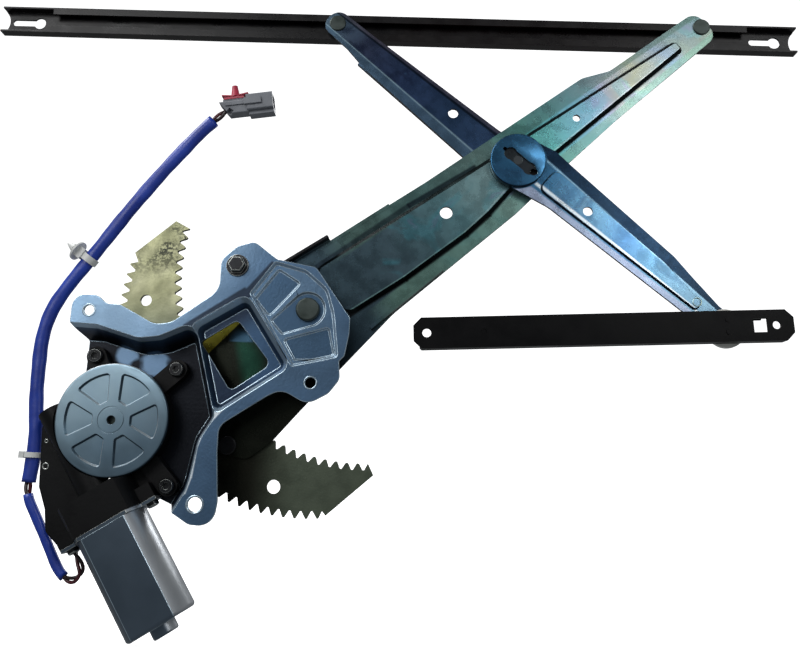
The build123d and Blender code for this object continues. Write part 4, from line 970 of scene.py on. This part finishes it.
def build_lead(looks):
    """The lead as one piece, two wires in two sleeves, and the points of its line."""
    points, run = lead_line()
    form = bmesh.new()
    for sleeve in (LOWER_SLEEVE, UPPER_SLEEVE):
        sweep(form, sleeve_rings(points, run, *sleeve), 0)
    for start, end in ((0.0, WIRES_END), BARE_WIRES, (LAST_WIRES, run[-1])):
        for strand in (0, 1):
            sweep(form, wire_rings(points, run, start, end, strand), 1 + strand, WIRE_SIDES)
    bmesh.ops.recalc_face_normals(form, faces=form.faces)
    finishes = [looks[name] for name in ("sleeve_blue", "wire_cover", "wire_black")]
    lead = make_piece("motor_lead", form, *finishes)
    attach(lead, "base")
    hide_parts("motor_wires", "lower_sleeve", "upper_sleeve")
    return lead, points


# Extra forms of the motor's case, and beads round holes, in millimetres. Each of LUG_RINGS has a
# place and the hole's radius
CASE_BACK = 8.5
CASE_TOP = 13.5
CASE_ROUNDING = 1.5
CASE_SHOULDERS = (
    ((-172.9, -71.0), (-180.4, -75.6), (-182.0, -87.6), (-179.0, -127.6), (-173.1, -142.3),
     (-170.7, -157.3), (-161.1, -166.3), (-147.7, -158.1), (-136.0, -134.8), (-140.0, -93.9)),
    ((-127.7, -110.5), (-124.1, -138.4), (-103.3, -130.9), (-95.3, -119.1), (-110.8, -102.8)),
)
CASE_SCREW_LEFT = (-175.7, -113.6, CASE_TOP)
CASE_PIN_LEFT = (-177.1, -96.6, CASE_TOP)
STUD_SEAT = (274.6, 18.7, 11.3)
LUG_RINGS = (
    ((-151.4, -6.3, LUG_PLANE), 3.6),
    ((*LUG_C, LUG_PLANE), 3.6),
    ((-65.9, -134.4, LUG_PLANE), 5.0),
)
RING_SIDES = 40
RING_FOOT = -0.6
RING_OUTER_EDGE = -0.1
RING_PROUD = 0.35


def add_case_shoulders(material):
    """Moulded shoulders that fill the case out beside the gear cup and behind the can."""
    form = bmesh.new()
    for outline in CASE_SHOULDERS:
        face = form.faces.new([form.verts.new(row(x, y, CASE_TOP)) for x, y in outline])
        solid = bmesh.ops.extrude_face_region(form, geom=[face])
        moved = [part for part in solid["geom"] if isinstance(part, bmesh.types.BMVert)]
        bmesh.ops.translate(form, verts=moved, vec=Vector((0, CASE_TOP - CASE_BACK, 0)) * MM)
    bmesh.ops.recalc_face_normals(form, faces=form.faces)
    piece = make_piece("case_shoulders", form, material)
    soften(piece.data)
    round_edges(piece, CASE_ROUNDING, 3)
    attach(piece, "base")


def hole_ring(name, spot, bore, material, wide=1.3):
    """Rounded bead round a hole that faces the cabin."""
    form = bmesh.new()
    profile = (
        (bore, RING_FOOT), (bore, 0.0), (bore + wide * 0.3, RING_PROUD),
        (bore + wide * 0.7, RING_PROUD), (bore + wide, RING_OUTER_EDGE))
    loops = []
    for step in range(RING_SIDES):
        turn = 2 * pi * step / RING_SIDES
        loops.append([
            form.verts.new(row(spot[0] + reach * cos(turn), spot[1] + reach * sin(turn), spot[2] + lift))
            for reach, lift in profile
        ])
    for index, loop in enumerate(loops):
        after = loops[(index + 1) % len(loops)]
        for low in range(len(profile)):
            high = (low + 1) % len(profile)
            form.faces.new((loop[low], loop[high], after[high], after[low])).smooth = True
    bmesh.ops.recalc_face_normals(form, faces=form.faces)
    return make_piece(name, form, material)


# Stage, in metres of the frame
FLOOR_DROP = 0.002
BACKDROP_FRONT = -2.5
BACKDROP_BACK = 1.6
BACKDROP_BEND = 0.9
BACKDROP_BEND_STEPS = 12
BACKDROP_TOP = 3.0
BACKDROP_HALF = 6.0
BACKDROP_GLOW = 0.9
WORLD_COLOUR = (0.93, 0.97, 1.0, 1.0)
WORLD_STRENGTH = 0.22
LIGHTS_AIM = Vector((0.05, 0.0, 0.08))
# Lights: name, place, size and power in watts
LIGHTS = (
    ("key", (-0.62, -0.95, 0.55), 0.7, 5.5),
    ("sheen", (0.72, -1.0, 0.62), 0.45, 2.9),
    ("rim", (-0.7, -0.05, 1.05), 0.5, 9),
    ("back", (0.35, 0.95, 0.75), 0.7, 7),
)


def stage_look():
    """White that glows a little, so that the floor stays as light as in the photo."""
    look = Look("stage_white", Roughness=0.9, Emission_Color=(1, 1, 1, 1), Emission_Strength=BACKDROP_GLOW)
    shade = look.ramp(look.noise(2.0), ((0.0, colour("f4f4f4")), (1.0, colour("ffffff"))))
    look.join(shade, look.shader.inputs["Base Color"])
    return look.material


def add_backdrop():
    """White floor that curves up into a wall."""
    form = bmesh.new()
    floor_z = cad_low.z - FLOOR_DROP
    bend_start = BACKDROP_BACK - BACKDROP_BEND
    profile = [(BACKDROP_FRONT, floor_z), (bend_start, floor_z)]
    for step in range(1, BACKDROP_BEND_STEPS + 1):
        turn = pi / 2 * step / BACKDROP_BEND_STEPS
        profile.append((
            bend_start + BACKDROP_BEND * sin(turn),
            floor_z + BACKDROP_BEND * (1 - cos(turn))))
    profile.append((BACKDROP_BACK, BACKDROP_TOP))
    left = [form.verts.new((-BACKDROP_HALF, y, z)) for y, z in profile]
    right = [form.verts.new((BACKDROP_HALF, y, z)) for y, z in profile]
    for index in range(len(profile) - 1):
        form.faces.new((left[index], right[index], right[index + 1], left[index + 1])).smooth = True
    backdrop = make_piece("backdrop", form, stage_look())
    backdrop.visible_glossy = False
    backdrop.visible_diffuse = False


def add_lights():
    """Pale world, a key from the upper left, a sheen from the right, a rim light and a back light."""
    world = bpy.data.worlds.new("studio")
    world.use_nodes = True
    background = world.node_tree.nodes["Background"]
    background.inputs["Color"].default_value = WORLD_COLOUR
    background.inputs["Strength"].default_value = WORLD_STRENGTH
    bpy.context.scene.world = world
    for name, place, size, power in LIGHTS:
        data = bpy.data.lights.new(name, "AREA")
        data.size = size
        data.energy = power
        lamp = link(name, data)
        lamp.location = place
        lamp.rotation_mode = "QUATERNION"
        lamp.rotation_quaternion = (LIGHTS_AIM - Vector(place)).to_track_quat("-Z", "Y")


# Assembly
add_camera()
add_backdrop()
add_lights()
bpy.context.scene.view_settings.view_transform = "Standard"
bpy.context.scene.view_settings.look = "None"
LOOKS = make_finishes()

# Rounding of edges in millimetres, finishes other than the node's slot, and edges with a painted highlight
ROUNDING = {
    "bracket": 0.4, "lug_bolt": 0.3, "pivot_pin": 0.4, "gear_housing": 0.5, "gear_cover": 0.4,
    "case_screws": 0.25, "motor_can": 0.4, "can_flange": 0.35, "flange_screws": 0.3,
    "lift_arm": 0.5, "sector_gear": 0.45, "sector_rivets": 0.3, "assist_arm_front": 0.45,
    "assist_arm_rear": 0.45, "centre_rivet": 0.3, "glass_stud_1": 0.25, "glass_stud_2": 0.25,
    "door_stud": 0.25, "glass_roller_1": 0.3, "glass_roller_2": 0.3, "door_roller": 0.3,
    "roller_shield": 0.3, "upper_rail": 0.35, "lower_rail": 0.4, "wire_grommet": 0.3,
    "cable_tie": 0.25, "harness_clip": 0.25, "connector": 0.3, "connector_clip": 0.25,
}
FINISH_OF = {
    "assist_arm_front": "zinc_blue", "assist_arm_rear": "zinc_navy", "sector_rivets": "bolt_black",
    "centre_rivet": "disc_recess", "centre_hub": "rubber_black", "centre_washers": "rubber_black",
    "lower_rail": "rail_satin",
}
EDGE_OF = {
    "bracket": "edge_blue", "gear_cover": "edge_blue", "motor_can": "edge_blue",
    "assist_arm_front": "edge_zinc", "case_screws": "edge_steel", "lug_bolt": "edge_steel",
    "flange_screws": "edge_steel", "can_flange": "edge_steel",
}

for node_name in sorted(NODES):
    if node_name in ("motor_wires", "lower_sleeve", "upper_sleeve"):
        continue
    look_name = FINISH_OF.get(node_name, SLOT_OF[node_name])
    if node_name in ROUNDING:
        edge = LOOKS[EDGE_OF[node_name]] if node_name in EDGE_OF else None
        dress(node_name, LOOKS[look_name], ROUNDING[node_name], edge)
    else:
        paint(node_name, LOOKS[look_name])

# The tongue's wall and ends take the bolts' black as painted shade
add_arm_flange(LOOKS["zinc_iridescent"], LOOKS["bolt_black"])
add_case_shoulders(LOOKS["case_plastic"])
for number, (spot, bore) in enumerate(LUG_RINGS, 1):
    ring = hole_ring(f"lug_ring_{number}", spot, bore, LOOKS["edge_blue"])
    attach(ring, "base")

# Small beads: name, place, hole's radius, bead's width, body and finish
for name, spot, bore, wide, body, look_name in (
    ("case_screw_left", CASE_SCREW_LEFT, 1.4, 1.3, "base", "edge_steel"),
    ("case_pin_left", CASE_PIN_LEFT, 0.6, 1.1, "base", "edge_steel"),
    ("stud_seat", STUD_SEAT, 2.7, 0.8, "assist_arm", "edge_zinc"),
):
    ring = hole_ring(name, spot, bore, LOOKS[look_name], wide)
    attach(ring, body)

lead, lead_points = build_lead(LOOKS)
